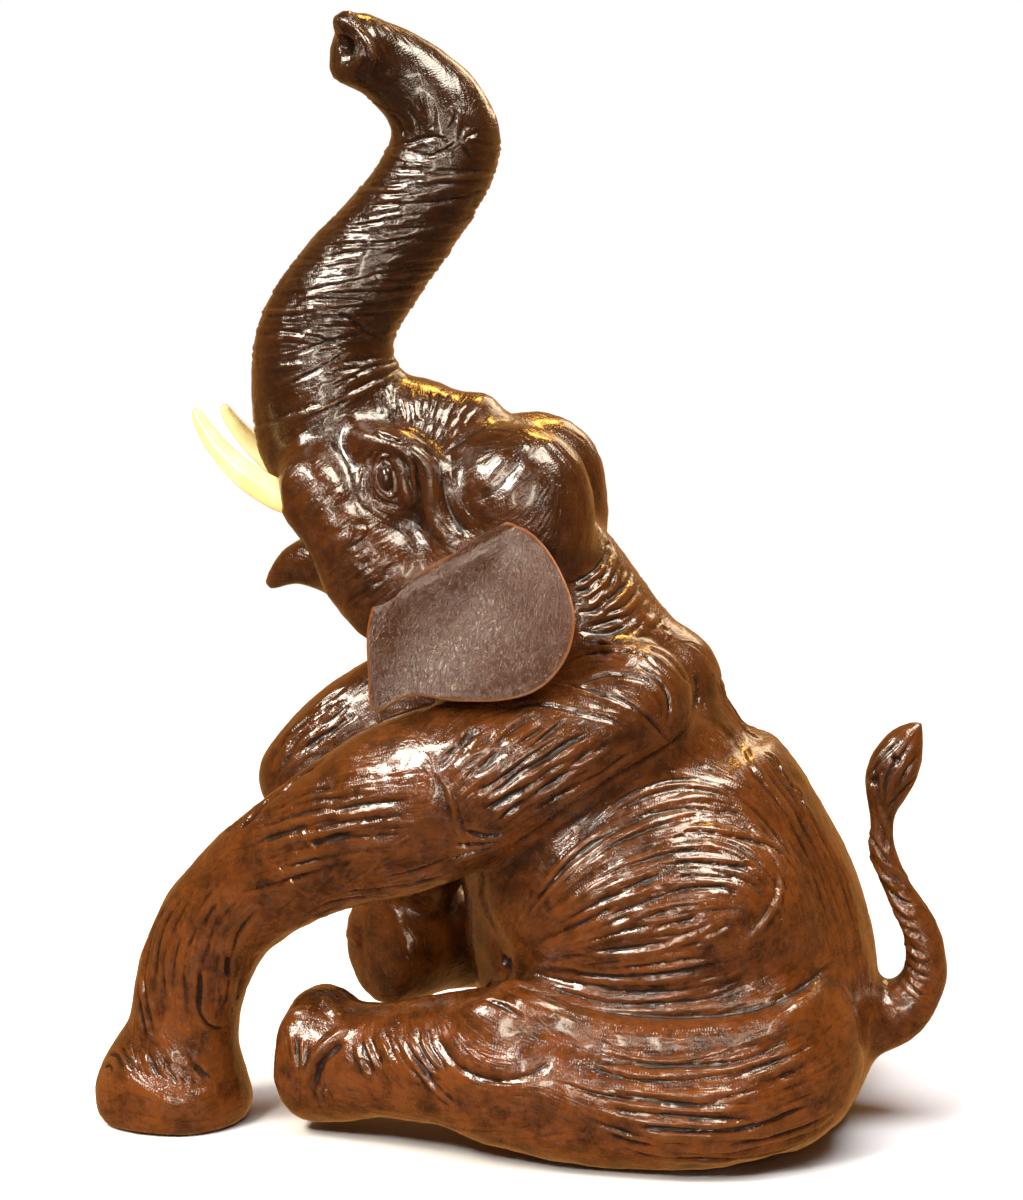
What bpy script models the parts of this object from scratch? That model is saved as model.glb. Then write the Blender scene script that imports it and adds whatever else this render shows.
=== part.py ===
"""Leather elephant sculpture, sitting on its rump with one forefoot planted and its trunk raised.

The body, with the trunk, the legs, the tail and the lower lip, is one leather-covered form.
It is blended from round masses.  The ears are flat pieces of leather, and the tusks and
the eyes are pieces of their own, each in its own socket.

The elephant faces -X, its left side is towards -Y, and Z is up.
The origin lies on the floor, under the middle of the sculpture's box.
Stations and places are in millimetres, measured from the middle of the seat.
"""
from math import cos, pi, radians, sin

import bmesh
import bpy
import numpy as np
from mathutils import Matrix, Vector

MM = 0.001
FIT_GAP = 0.3          # between pieces that touch
VOXEL = 3.5            # grain of the blended masses
BODY_TRIANGLES = 6700
SECTION_SIDES = 28
SPAN_STEPS = 6         # sections between two stations
CAP_RINGS = 4          # sections that round off a limb's end
BALL_SIDES = 32
BALL_RINGS = 20
FLOOR_CUT = 120.0      # depth of the block that flattens the underside
FLOOR_LEVEL = 4.0      # height of that flat underside

LEATHER_BROWN = (0.085, 0.033, 0.012, 1.0)
EAR_BROWN = (0.16, 0.075, 0.048, 1.0)
IVORY = (0.85, 0.76, 0.47, 1.0)
EYE_BROWN = (0.045, 0.014, 0.006, 1.0)

# Each station is x, y, z, half depth (in the upright plane) and half width (sideways).
TORSO = (
    (121, 0, -14, 58, 58),
    (114, 0, 21, 90, 86),
    (101, 0, 58, 105, 98),
    (86, 0, 102, 109.5, 98),
    (68, 0, 150, 102, 92),
    (52, 0, 182, 90, 84),
    (45, 0, 210, 77, 78),
    (36, 0, 240, 58, 62),
)
NECK = (
    (51, 0, 228, 61, 62),
    (38, 0, 258, 51, 53),
    (12, 0, 298, 47, 48),
    (-12, 0, 316, 45, 44),
)
TRUNK = (
    (-82, 0, 358, 46, 44),
    (-96, 0, 379, 44, 42),
    (-102, 0, 412, 39.5, 39),
    (-100, 0, 430, 36.5, 36),
    (-87, 0, 453, 33.5, 34),
    (-55, 0, 493, 29.5, 30),
    (-35, 0, 526, 29, 28),
    (-37, -1, 544, 27, 26),
    (-46, -4, 557, 25, 23),
    (-59, -10, 569, 22, 20),
    (-72, -18, 577, 20, 19),
    (-82, -27, 581, 21, 20),
)
NEAR_FORELEG = (
    (71, -54, 243, 34, 32),
    (36, -70, 222, 36, 35),
    (-5, -78, 206, 44, 38),
    (-48, -78, 187, 46, 38),
    (-99, -70, 161, 37, 34),
    (-140, -60, 130, 32, 31),
    (-161, -54, 100, 31, 30),
    (-170, -52, 74, 30, 29),
    (-173, -51, 54, 31, 30),
    (-177, -50, 33, 39, 37),
    (-179, -50, 17, 44, 41),
    (-179, -50, -4, 38, 36),
)
FAR_UPPER_FORELEG = (
    (64, 54, 240, 34, 32),
    (30, 66, 232, 40, 34),
    (-15, 66, 226, 42, 34),
    (-57, 64, 217, 36, 32),
    (-98, 60, 196, 32, 30),
    (-123, 55, 172, 30, 29),
)
FAR_LOWER_FORELEG = (
    (-122, 54, 172, 29, 29),
    (-98, 46, 154, 26, 26),
    (-72, 38, 144, 25, 25),
    (-48, 31, 136, 29, 29),
    (-38, 28, 133, 29, 29),
)
NEAR_HIND_LEG = (
    (148, -60, 52, 48, 50),
    (111, -79, 42, 42, 50),
    (59, -86, 42, 42, 44),
    (6, -84, 51, 42, 40),
    (-27, -77, 51, 35, 35),
    (-62, -67, 46, 31, 31),
    (-82, -60, 43, 34, 33),
    (-98, -53, 44, 39, 37),
    (-103, -51, 44, 36, 35),
)
FAR_HIND_LEG = (
    (148, 60, 52, 48, 50),
    (111, 80, 44, 42, 50),
    (59, 90, 53, 43, 43),
    (14, 93, 68, 38, 38),
    (-20, 83, 77, 33, 34),
    (-48, 63, 80, 31, 31),
    (-68, 42, 81, 34, 34),
    (-81, 29, 81, 34, 33),
)
TAIL = (
    (170, 0, 62, 30, 30),
    (190, 0, 60, 23, 24),
    (205, 0, 62, 19.5, 20),
    (217, 0, 69, 16, 17),
    (225, 0, 82, 13, 13),
    (226, 0, 96, 12, 12),
    (223, 0, 112, 10.5, 11),
    (216, 0, 124, 9.5, 10),
    (209, 0, 136, 8.3, 9),
    (204, 0, 148, 7.7, 9),
    (201, 0, 160, 7.5, 8),
    (201, 0, 174, 8, 8),
    (203, 0, 187, 13, 11),
    (207, 0, 200, 15, 13),
    (213, 0, 214, 12, 10),
    (219, 0, 223, 6, 6),
    (222, 0, 228, 3, 3),
)
LOWER_LIP = (
    (-58, 0, 292, 24, 30),
    (-88, 0, 301, 19, 24),
    (-108, 0, 305.5, 15.5, 18),
    (-122, 0, 301, 10.5, 12.5),
    (-133, 0, 291, 5.5, 7),
)
SHEATH = (   # from the tusk down the cheek, on the left
    (-99, -44, 351, 23, 20),
    (-83, -45, 331, 24, 22),
    (-69, -42, 310, 30, 23),
    (-52, -36, 297, 35, 25),
    (-34, -34, 299, 32, 26),
)
BROW_ROLL = (
    (-74, -42, 377, 8, 8),
    (-56, -47, 377, 9, 8),
    (-42, -48, 370, 9, 8),
    (-35, -48, 357, 9, 8),
    (-31, -48, 344, 9, 8),
    (-20, -44, 331, 9, 8),
)
THIGH_BAND = (
    (12, -92, 94, 9, 9),
    (60, -98, 80, 10, 10),
    (112, -99, 78, 10, 10),
    (150, -88, 88, 10, 10),
    (168, -64, 98, 8, 8),
)
TUSK = (
    (-101, -45, 344, 8.8, 8.8),
    (-117, -45, 347, 8.4, 8.4),
    (-133, -43, 355, 7.4, 7.4),
    (-145, -40, 364, 6.4, 6.4),
    (-155, -36, 374, 5.2, 5.2),
    (-162, -32, 383, 4, 4),
    (-165, -30, 388, 3, 3),
)
TUSK_SIDES = 12
TUSK_STEPS = 2
TUSK_CAP_RINGS = 2
RIGHT_TUSK_BACK = 2.0         # the right tusk sits that much further back,
RIGHT_TUSK_DROP = (10.0, 5.0)  # and that much lower, at its root and at its tip

EAR_OUTLINE = (   # x and z of the left ear's edge, from its front corner over the top
    (-60, 298), (-30, 317), (-2, 337), (11, 340), (28, 329), (41, 310), (46, 292),
    (42, 274), (30, 259), (12, 252), (-14, 250), (-40, 251), (-59, 242), (-63, 258), (-65, 282),
)
EAR_HINGE = (-60, 297)            # a point of the line where the ear meets the head
EAR_HINGE_DOWN = (0.496, -0.868)  # away from that line, down the ear
EAR_THICKNESS = 1.8
EAR_HINGE_ALONG = (0.868, 0.496)
EAR_SET_IN = 61.5                 # from the hinge line's front end to the middle of the head
EAR_CONVERGE = 0.03               # how fast that line nears the middle, towards the top
EAR_FLARE = 0.72                  # how fast the ear leaves the head, and how it straightens
EAR_FLATTENING = 0.0016
EAR_RINGS = 3
EAR_EDGE_STEPS = 3

EYE_CENTRE = (-57, -50.5, 359)
EYE_RADII = (6, 6, 9)
EYE_SIDES = 12
EYE_RINGS = 8


def clear_scene():
    for item in list(bpy.data.objects):
        bpy.data.objects.remove(item, do_unlink=True)


def material(name, colour, roughness, coat=0.0):
    made = bpy.data.materials.new(name)
    made.use_nodes = True
    made.diffuse_color = colour
    shader = made.node_tree.nodes["Principled BSDF"]
    shader.inputs["Base Color"].default_value = colour
    shader.inputs["Roughness"].default_value = roughness
    shader.inputs["Metallic"].default_value = 0.0
    shader.inputs["Coat Weight"].default_value = coat
    return made


def collection(name):
    made = bpy.data.collections.new(name)
    bpy.context.scene.collection.children.link(made)
    return made


def add_object(name, bm, home):
    """Make an object of a finished bmesh, shaded smooth."""
    bmesh.ops.recalc_face_normals(bm, faces=bm.faces)
    mesh = bpy.data.meshes.new(name)
    bm.to_mesh(mesh)
    bm.free()
    mesh.shade_smooth()
    made = bpy.data.objects.new(name, mesh)
    home.objects.link(made)
    return made


def through(rows, steps, closed=False):
    """Points of a Catmull-Rom curve through the rows, with the given steps from row to row."""
    rows = np.array(rows, dtype=float)
    if closed:
        rows = np.vstack([rows[-1], rows, rows[0], rows[1]])
    else:
        rows = np.vstack([2 * rows[0] - rows[1], rows, 2 * rows[-1] - rows[-2]])
    points = []
    for before, start, end, after in zip(rows, rows[1:], rows[2:], rows[3:]):
        for step in range(steps):
            t = step / steps
            points.append(0.5 * (2 * start + (end - before) * t
                                 + (2 * before - 5 * start + 4 * end - after) * t ** 2
                                 + (3 * start - before - 3 * end + after) * t ** 3))
    if not closed:
        points.append(rows[-2])
    return np.array(points)


def rounded_ends(sections, bulge, ring_count):
    """Add a rounded cap of shrinking sections beyond each end, bulging by a part of its depth."""
    def cap(end, inner):
        direction = end[:3] - inner[:3]
        direction = direction / np.linalg.norm(direction)
        rings = []
        for k in range(1, ring_count + 1):
            angle = 0.5 * pi * k / (ring_count + 0.35)
            ring = end.copy()
            ring[:3] += direction * end[3] * bulge * sin(angle)
            ring[3:] *= cos(angle)
            rings.append(ring)
        return rings
    first = cap(sections[0], sections[1])[::-1]
    last = cap(sections[-1], sections[-2])
    return np.array(first + list(sections) + last)


def loft(name, stations, home, bulge=1.0, sides=SECTION_SIDES, steps=SPAN_STEPS,
         cap_rings=CAP_RINGS):
    """A limb with elliptical sections, swept through its stations and rounded at both ends."""
    sections = rounded_ends(through(stations, steps), bulge, cap_rings) * MM
    centres = sections[:, :3]
    tangents = np.gradient(centres, axis=0)
    bm = bmesh.new()
    rings = []
    for (x, y, z, depth, width), tangent in zip(sections, tangents):
        along = Vector(tangent).normalized()
        sideways = (Vector((0, 1, 0)) - along * along.y).normalized()
        upwards = along.cross(sideways)
        ring = []
        for k in range(sides):
            angle = 2 * pi * k / sides
            offset = upwards * depth * cos(angle) + sideways * width * sin(angle)
            ring.append(bm.verts.new(Vector((x, y, z)) + offset))
        rings.append(ring)
    for ring, following in zip(rings, rings[1:]):
        for k in range(sides):
            m = (k + 1) % sides
            bm.faces.new((ring[k], ring[m], following[m], following[k]))
    bm.faces.new(rings[0][::-1])
    bm.faces.new(rings[-1])
    return add_object(name, bm, home)


def ball(name, centre, radii, home, lean=0.0):
    """An ellipsoid, leaned about Y by degrees."""
    bm = bmesh.new()
    bmesh.ops.create_uvsphere(bm, u_segments=BALL_SIDES, v_segments=BALL_RINGS, radius=1.0)
    shape = (Matrix.Translation(Vector(centre) * MM)
             @ Matrix.Rotation(radians(lean), 4, "Y")
             @ Matrix.Diagonal((*(Vector(radii) * MM), 1.0)))
    bmesh.ops.transform(bm, matrix=shape, verts=bm.verts)
    return add_object(name, bm, home)


def ball_pair(name, centre, radii, home, lean=0.0):
    """The same ellipsoid on the elephant's left, towards -Y, and on its right."""
    x, y, z = centre
    return [ball(name + "_left", (x, y, z), radii, home, lean),
            ball(name + "_right", (x, -y, z), radii, home, lean)]


def mirrored(stations):
    return [(x, -y, z, depth, width) for x, y, z, depth, width in stations]


def loft_pair(name, stations, home):
    return [loft(name + "_left", stations, home), loft(name + "_right", mirrored(stations), home)]


def bake(made):
    """Replace an object's mesh by what its modifiers make of it."""
    graph = bpy.context.evaluated_depsgraph_get()
    mesh = bpy.data.meshes.new_from_object(made.evaluated_get(graph))
    made.modifiers.clear()
    made.data = mesh
    return made


def blend(name, masses, home, smoothing):
    """Join overlapping masses into one skin, and smooth the creases between them."""
    bm = bmesh.new()
    for mass in masses:
        bm.from_mesh(mass.data)
        bpy.data.objects.remove(mass, do_unlink=True)
    made = add_object(name, bm, home)
    remesh = made.modifiers.new("one_skin", "REMESH")
    remesh.mode = "VOXEL"
    remesh.voxel_size = VOXEL * MM
    remesh.use_smooth_shade = True
    smooth = made.modifiers.new("soft_creases", "SMOOTH")
    smooth.factor = 0.5
    smooth.iterations = smoothing
    return bake(made)


def cut(made, cutter):
    """Take the cutter's shape out of an object."""
    boolean = made.modifiers.new("cut", "BOOLEAN")
    boolean.operation = "DIFFERENCE"
    boolean.solver = "EXACT"
    boolean.object = cutter
    bake(made)


def as_cutter(made):
    made.hide_render = True
    made.display_type = "WIRE"
    return made


def torso_masses(home):
    masses = [loft("torso", TORSO, home, bulge=0.5), loft("neck", NECK, home)]
    masses.append(ball("withers", (82, 0, 243), (33, 36, 33), home, lean=30))
    masses.append(ball("chest", (0, 0, 212), (46, 58, 46), home))
    masses += ball_pair("shoulder", (54, -42, 228), (44, 40, 46), home)
    masses += ball_pair("haunch", (147, -56, 58), (50, 56, 56), home)
    masses += ball_pair("flank", (82, -56, 135), (92, 50, 64), home, lean=12)
    return masses


def head_masses(home):
    masses = [ball("skull", (-23, 0, 346), (50, 46, 46), home)]
    masses += ball_pair("dome", (8, -29, 345), (41, 31, 41), home)
    masses += ball_pair("dome_base", (9, -28, 330), (41, 31, 40), home)
    masses += loft_pair("sheath", SHEATH, home)
    masses += ball_pair("jaw_hinge", (-18, -36, 318), (34, 24, 30), home)
    masses += ball_pair("eye_socket", (-56, -38, 356), (24, 17, 26), home)
    masses.append(ball("jaw", (-58, 0, 302), (34, 34, 27), home))
    masses.append(ball("brow", (-48, 0, 379), (44, 30, 26), home, lean=20))
    masses.append(ball("forehead_knob", (-18, 0, 386), (12, 20, 14), home))
    masses.append(loft("lower_lip", LOWER_LIP, home))
    return masses


def trunk_masses(home):
    masses = [loft("trunk", TRUNK, home, bulge=0.2)]
    masses.append(ball("trunk_finger", (-86, -28, 594), (7, 8, 7), home, lean=-20))
    return masses


def limb_masses(home):
    masses = [loft("foreleg_left", NEAR_FORELEG, home)]
    masses.append(loft("upper_foreleg_right", FAR_UPPER_FORELEG, home))
    masses.append(loft("lower_foreleg_right", FAR_LOWER_FORELEG, home, bulge=0.3))
    masses.append(loft("hind_leg_left", NEAR_HIND_LEG, home, bulge=0.3))
    masses.append(loft("hind_leg_right", FAR_HIND_LEG, home, bulge=0.1))
    masses.append(loft("tail", TAIL, home))
    return masses


def fold_masses(home):
    """The larger rolls that lie on the skin: brows, knee caps and the bands above the thighs."""
    masses = loft_pair("brow_roll", BROW_ROLL, home) + loft_pair("thigh_band", THIGH_BAND, home)
    masses.append(ball("kneecap_left", (11, -100, 81), (29, 16, 16), home))
    masses.append(ball("kneecap_right", (11, 109, 96), (28, 16, 15), home))
    return masses


def ear_sheet(name, side, home, thickness, growth=0.0):
    """A thin curved sheet inside the ear's outline, on the side given by the sign of Y."""
    outline = through(EAR_OUTLINE, EAR_EDGE_STEPS, closed=True)
    centre = outline.mean(axis=0)
    arms = outline - centre
    arms *= 1 + growth / np.linalg.norm(arms, axis=1, keepdims=True)

    def on_ear(point):
        down = np.dot(point - EAR_HINGE, EAR_HINGE_DOWN)
        along = np.dot(point - EAR_HINGE, EAR_HINGE_ALONG)
        out = (EAR_SET_IN - EAR_CONVERGE * along
               + EAR_FLARE * down - EAR_FLATTENING * down ** 2)
        return Vector((point[0], side * out, point[1])) * MM

    bm = bmesh.new()
    middle = bm.verts.new(on_ear(centre))
    rings = [[bm.verts.new(on_ear(centre + arm * k / EAR_RINGS)) for arm in arms]
             for k in range(1, EAR_RINGS + 1)]
    count = len(arms)
    for k in range(count):
        m = (k + 1) % count
        bm.faces.new((middle, rings[0][k], rings[0][m]))
        for ring, wider in zip(rings, rings[1:]):
            bm.faces.new((ring[k], wider[k], wider[m], ring[m]))
    made = add_object(name, bm, home)
    solid = made.modifiers.new("leather_thickness", "SOLIDIFY")
    solid.thickness = thickness * MM
    solid.offset = 0.0
    return bake(made)


def tusk(name, side, home, growth=0.0):
    shift = RIGHT_TUSK_BACK if side > 0 else 0.0
    drops = np.linspace(*RIGHT_TUSK_DROP, len(TUSK)) if side > 0 else np.zeros(len(TUSK))
    rows = [(x + shift, -side * y, z - drop, depth + growth, width + growth)
            for (x, y, z, depth, width), drop in zip(TUSK, drops)]
    rows[0] = (rows[0][0] + growth, *rows[0][1:])
    return loft(name, rows, home, bulge=0.5, sides=TUSK_SIDES, steps=TUSK_STEPS,
                cap_rings=TUSK_CAP_RINGS)


def eye(name, side, home, growth=0.0):
    x, y, z = EYE_CENTRE
    bm = bmesh.new()
    bmesh.ops.create_uvsphere(bm, u_segments=EYE_SIDES, v_segments=EYE_RINGS, radius=1.0)
    radii = Vector(EYE_RADII) + Vector((growth,) * 3)
    shape = (Matrix.Translation(Vector((x, -side * y, z)) * MM)
             @ Matrix.Diagonal((*(radii * MM), 1.0)))
    bmesh.ops.transform(bm, matrix=shape, verts=bm.verts)
    return add_object(name, bm, home)


def floor_block(home):
    bm = bmesh.new()
    middle = (FLOOR_LEVEL - 0.5 * FLOOR_CUT) * MM
    place = Matrix.Translation((0, 0, middle)) @ Matrix.Diagonal((1.0, 1.0, FLOOR_CUT * MM, 1.0))
    bmesh.ops.create_cube(bm, size=1.0, matrix=place)
    return add_object("floor_block", bm, home)


def thin_out(made, triangles):
    made.modifiers.new("triangles", "TRIANGULATE")
    bake(made)
    decimate = made.modifiers.new("fewer_faces", "DECIMATE")
    decimate.ratio = triangles / len(made.data.polygons)
    bake(made)


def centre_on_floor(objects):
    """Move everything so that the origin is on the floor under the middle of the box."""
    points = np.array([vertex.co for made in objects for vertex in made.data.vertices])
    low, high = points.min(axis=0), points.max(axis=0)
    middle = (low + high) / 2
    for made in objects:
        made.data.transform(Matrix.Translation((-middle[0], -middle[1], -low[2])))


def build():
    clear_scene()
    pieces = collection("leather_elephant_sculpture")
    cutters = collection("cutters")
    leather = material("brown_leather", LEATHER_BROWN, 0.32, coat=0.5)
    ear_leather = material("ear_leather", EAR_BROWN, 0.45)
    ivory = material("ivory", IVORY, 0.3)
    eye_gloss = material("eye_gloss", EYE_BROWN, 0.08)

    masses = [blend("torso_form", torso_masses(pieces), pieces, smoothing=8),
              blend("head_form", head_masses(pieces), pieces, smoothing=3)]
    masses += trunk_masses(pieces) + limb_masses(pieces) + fold_masses(pieces)
    body = blend("body", masses, pieces, smoothing=3)
    thin_out(body, BODY_TRIANGLES)
    cut(body, as_cutter(floor_block(cutters)))
    finished = [(body, leather)]
    slot_width = EAR_THICKNESS + 2 * FIT_GAP
    for label, side in (("left", -1), ("right", 1)):
        finished += [(ear_sheet("ear_" + label, side, pieces, EAR_THICKNESS), ear_leather),
                     (tusk("tusk_" + label, side, pieces), ivory),
                     (eye("eye_" + label, side, pieces), eye_gloss)]
        for cutter in (ear_sheet("ear_slot_" + label, side, cutters, slot_width, FIT_GAP),
                       tusk("tusk_socket_" + label, side, cutters, FIT_GAP),
                       eye("eye_socket_" + label, side, cutters, FIT_GAP)):
            cut(body, as_cutter(cutter))
    for made, finish in finished:
        made.data.materials.clear()
        made.data.materials.append(finish)
    centre_on_floor([made for made, finish in finished])


build()
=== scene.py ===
"""Leather elephant sculpture: the look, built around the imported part.

The elephant faces -X, its left side is towards -Y, and Z is up.
Places in the tables are in millimetres from the middle of the seat, and at() brings
them into the part's frame.
"""

from math import cos, exp, pi, radians, sin, sqrt

import bmesh
import bpy
import numpy as np
from mathutils import Matrix, Vector
from mathutils.bvhtree import BVHTree
from mathutils.kdtree import KDTree


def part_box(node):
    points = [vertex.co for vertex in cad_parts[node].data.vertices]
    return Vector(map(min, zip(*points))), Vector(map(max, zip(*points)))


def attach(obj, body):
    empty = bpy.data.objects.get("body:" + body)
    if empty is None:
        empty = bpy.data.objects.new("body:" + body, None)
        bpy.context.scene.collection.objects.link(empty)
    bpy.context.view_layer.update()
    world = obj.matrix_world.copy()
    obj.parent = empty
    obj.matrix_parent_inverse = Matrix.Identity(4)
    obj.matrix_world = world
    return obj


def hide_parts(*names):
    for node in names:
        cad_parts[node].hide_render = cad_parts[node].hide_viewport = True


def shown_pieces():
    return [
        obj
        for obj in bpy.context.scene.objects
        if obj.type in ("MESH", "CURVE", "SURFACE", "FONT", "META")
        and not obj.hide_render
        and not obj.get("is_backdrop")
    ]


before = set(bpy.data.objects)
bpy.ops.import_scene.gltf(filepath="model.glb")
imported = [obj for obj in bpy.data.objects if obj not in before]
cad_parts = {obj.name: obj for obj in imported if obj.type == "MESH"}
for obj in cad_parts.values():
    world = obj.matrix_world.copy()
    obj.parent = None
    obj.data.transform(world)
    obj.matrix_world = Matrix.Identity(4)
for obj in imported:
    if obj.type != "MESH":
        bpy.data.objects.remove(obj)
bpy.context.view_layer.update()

MM = 0.001
LEFT, RIGHT = -1, 1

# ---- the part's measures
EYE_CENTRE = (-57, -50.5, 359)     # the middle of the left eye
EYE_RADII = (6, 6, 9)
EYE_SHOWN = (-1.9, 0.5, -1.0)      # the visible ball, from the middle of the CAD one
EYE_SHOWN_RADII = (4.6, 6.2, 8.0)
TUSK = (                           # x, y, z and radius, from the root
    (-101, -45, 344, 8.8), (-117, -45, 347, 8.4), (-133, -43, 355, 7.4), (-145, -40, 364, 6.4),
    (-155, -36, 374, 5.2), (-162, -32, 383, 4.0), (-165, -30, 388, 3.0),
)
RIGHT_TUSK_BACK = 2.0
RIGHT_TUSK_DROP = (10.0, 5.0)
EAR_OUTLINE = (
    (-60, 298), (-30, 316), (-6, 333), (9, 337), (26, 328), (39, 310), (45, 292),
    (42, 274), (30, 259), (12, 252), (-14, 250), (-40, 251), (-59, 242), (-64, 258), (-67, 282),
)
EAR_HINGE = (-60, 297)
EAR_HINGE_DOWN = (0.496, -0.868)
EAR_HINGE_ALONG = (0.868, 0.496)
EAR_SET_IN = 61.5
EAR_CONVERGE = 0.03
EAR_FLARE = 0.72
EAR_FLATTENING = 0.0016
EAR_THICKNESS = 1.8
EAR_EDGE = 0.45                    # the cut edge is rounded by this much
EAR_WAVE = 0.5                     # the soft folds that fan out from the hinge
EAR_FAN = 7.5
EAR_FAN_START = (40, -30)          # along and down the ear, where its folds come together
EAR_WAVE_START = 14                # the folds grow from nothing over this way down
EAR_CREST = (78, 5)                # along and down the ear, where its soft crest starts
EAR_CREST_TURN = (0.555, 0.832)    # square to the crest
EAR_CREST_SLOPE = 0.18
EAR_CREST_SOFTNESS = (3.0, 0.3)    # at the start, and more for each millimetre on
EAR_LIP = (1.6, 1.0, 3.2)          # the rolled edge at the hinge: height, middle and width
EAR_RIM = 1.6                      # the cut edge is lighter over this width: partly its own colour, partly a painted warm rim highlight
EAR_RINGS = 26                     # of faces, from the middle out
TUSK_SIDES = 32

# ---- camera and light
CAMERA_AZIMUTH = 8.0
CAMERA_ELEVATION = 10.0
CAMERA_DISTANCE = 1.9
CAMERA_AIM = (0, 0, 286)
CAMERA_LENS = 105.56
FLOOR_RADIUS = 1.5
BACKDROP_RADIUS = 9.0
WARM_WHITE = (1.0, 0.88, 0.72)

# ---- the skin
VOXEL = 2.3
SLOT_FILL = 1.5
FIRST_SMOOTHING, LAST_SMOOTHING = 14, 4
SKIN_TRIANGLES = 196000
EYE_PLUG_MARGIN = 0.4              # the filled socket is this much smaller than the CAD eye
TUSK_PLUG = (-5, 0, 1.5)           # from the tusk's root
TUSK_PLUG_RADII = (13, 9.5, 9.5)
BROAD_LIMIT, WRINKLE_LIMIT, FINE_LIMIT = 1.5, 2.4, 1.2     # the most that each kind of fold adds
ADDED_CLAY = (                     # centre and radii of balls that the smoothing would lose
    ((-82, -31, 594), (6.5, 7, 6.5)),
)
FINE_SPOTS = (                     # x, y, z and reach of places with fine forms
    (-55, -54, 358, 20), (-55, 54, 358, 20), (-80, -36, 580, 20),
)
FINE_WRINKLES = 1400
FINE_STEPS = (6, 20)               # from and to how many steps long they are
FINE_STEP = 1.4
FINE_TURN = 0.35                   # how far one may stray from the wrinkles round it
FINE_WIDTHS = (0.75, 1.2)
FINE_HEIGHTS = (0.08, 0.3)
FLOOR_CLEAR = 4                    # they start above this height
HAND_WAVES = (                     # length, height and number of the waves of unevenness
    (34, 0.22, 26), (14, 0.12, 30), (6.5, 0.06, 34),
)
RELIEF_ROUNDS = 10
FLOW_SENSE = (1.0, 0.31, 0.22)     # the flow is marked so that it runs this way
SEED = 11

rng = np.random.default_rng(SEED)


def find_origin():
    low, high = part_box("eye_left")
    return (low + high) / 2 - Vector(EYE_CENTRE) * MM


ORIGIN = find_origin()


def at(x, y, z):
    """A place given in millimetres from the middle of the seat, in the part's frame."""
    return Vector((x, y, z)) * MM + ORIGIN


# ---- meshes
def new_object(name, data):
    made = bpy.data.objects.new(name, data)
    bpy.context.scene.collection.objects.link(made)
    return made


def object_of(name, bm):
    bmesh.ops.recalc_face_normals(bm, faces=bm.faces)
    mesh = bpy.data.meshes.new(name)
    bm.to_mesh(mesh)
    bm.free()
    mesh.shade_smooth()
    return new_object(name, mesh)


def bake(made):
    graph = bpy.context.evaluated_depsgraph_get()
    mesh = bpy.data.meshes.new_from_object(made.evaluated_get(graph))
    made.modifiers.clear()
    made.data = mesh
    return made


def modify(made, kind, **settings):
    modifier = made.modifiers.new(kind.lower(), kind)
    for key, value in settings.items():
        setattr(modifier, key, value)
    return bake(made)


def catmull_rom(rows, steps, closed=False):
    rows = np.array(rows, dtype=float)
    if closed:
        rows = np.vstack([rows[-1], rows, rows[0], rows[1]])
    else:
        rows = np.vstack([2 * rows[0] - rows[1], rows, 2 * rows[-1] - rows[-2]])
    t = (np.arange(steps) / steps)[:, None]
    points = [0.5 * (2 * b + (c - a) * t + (2 * a - 5 * b + 4 * c - d) * t ** 2
                     + (3 * b - a - 3 * c + d) * t ** 3)
              for a, b, c, d in zip(rows, rows[1:], rows[2:], rows[3:])]
    points = np.vstack(points)
    return points if closed else np.vstack([points, rows[-2]])


def evenly(points, step):
    """The same polyline with samples at even steps."""
    points = np.asarray(points, dtype=float)
    gaps = np.linalg.norm(np.diff(points, axis=0), axis=1)
    run = np.concatenate([[0], np.cumsum(gaps)])
    count = max(4, int(round(run[-1] / step)) + 1)
    marks = np.linspace(0, run[-1], count)
    return np.stack([np.interp(marks, run, points[:, k]) for k in range(points.shape[1])], axis=1)


def coordinates(mesh):
    co = np.empty(len(mesh.vertices) * 3, dtype=np.float32)
    mesh.vertices.foreach_get("co", co)
    return co.reshape(-1, 3).astype(float)


def normals_of(mesh):
    no = np.empty(len(mesh.vertices) * 3, dtype=np.float32)
    mesh.vertex_normals.foreach_get("vector", no)
    return no.reshape(-1, 3).astype(float)


def set_coordinates(mesh, co):
    mesh.vertices.foreach_set("co", co.astype(np.float32).ravel())
    mesh.update()


def tree_of(mesh):
    return BVHTree.FromPolygons([v.co for v in mesh.vertices], [p.vertices for p in mesh.polygons])


def placed(centre, radii):
    return Matrix.Translation(at(*centre)) @ Matrix.Diagonal((*(Vector(radii) * MM), 1.0))


def ball(centre, radii):
    bm = bmesh.new()
    bmesh.ops.create_uvsphere(bm, u_segments=32, v_segments=20, radius=1.0)
    bmesh.ops.transform(bm, matrix=placed(centre, radii), verts=bm.verts)
    return object_of("clay", bm)


# ---- the bare form
def join_clay(masses):
    bm = bmesh.new()
    for mass in masses:
        bm.from_mesh(mass.data)
        bpy.data.objects.remove(mass, do_unlink=True)
    mesh = bpy.data.meshes.new("form")
    bm.to_mesh(mesh)
    bm.free()
    return new_object("form", mesh)


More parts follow.
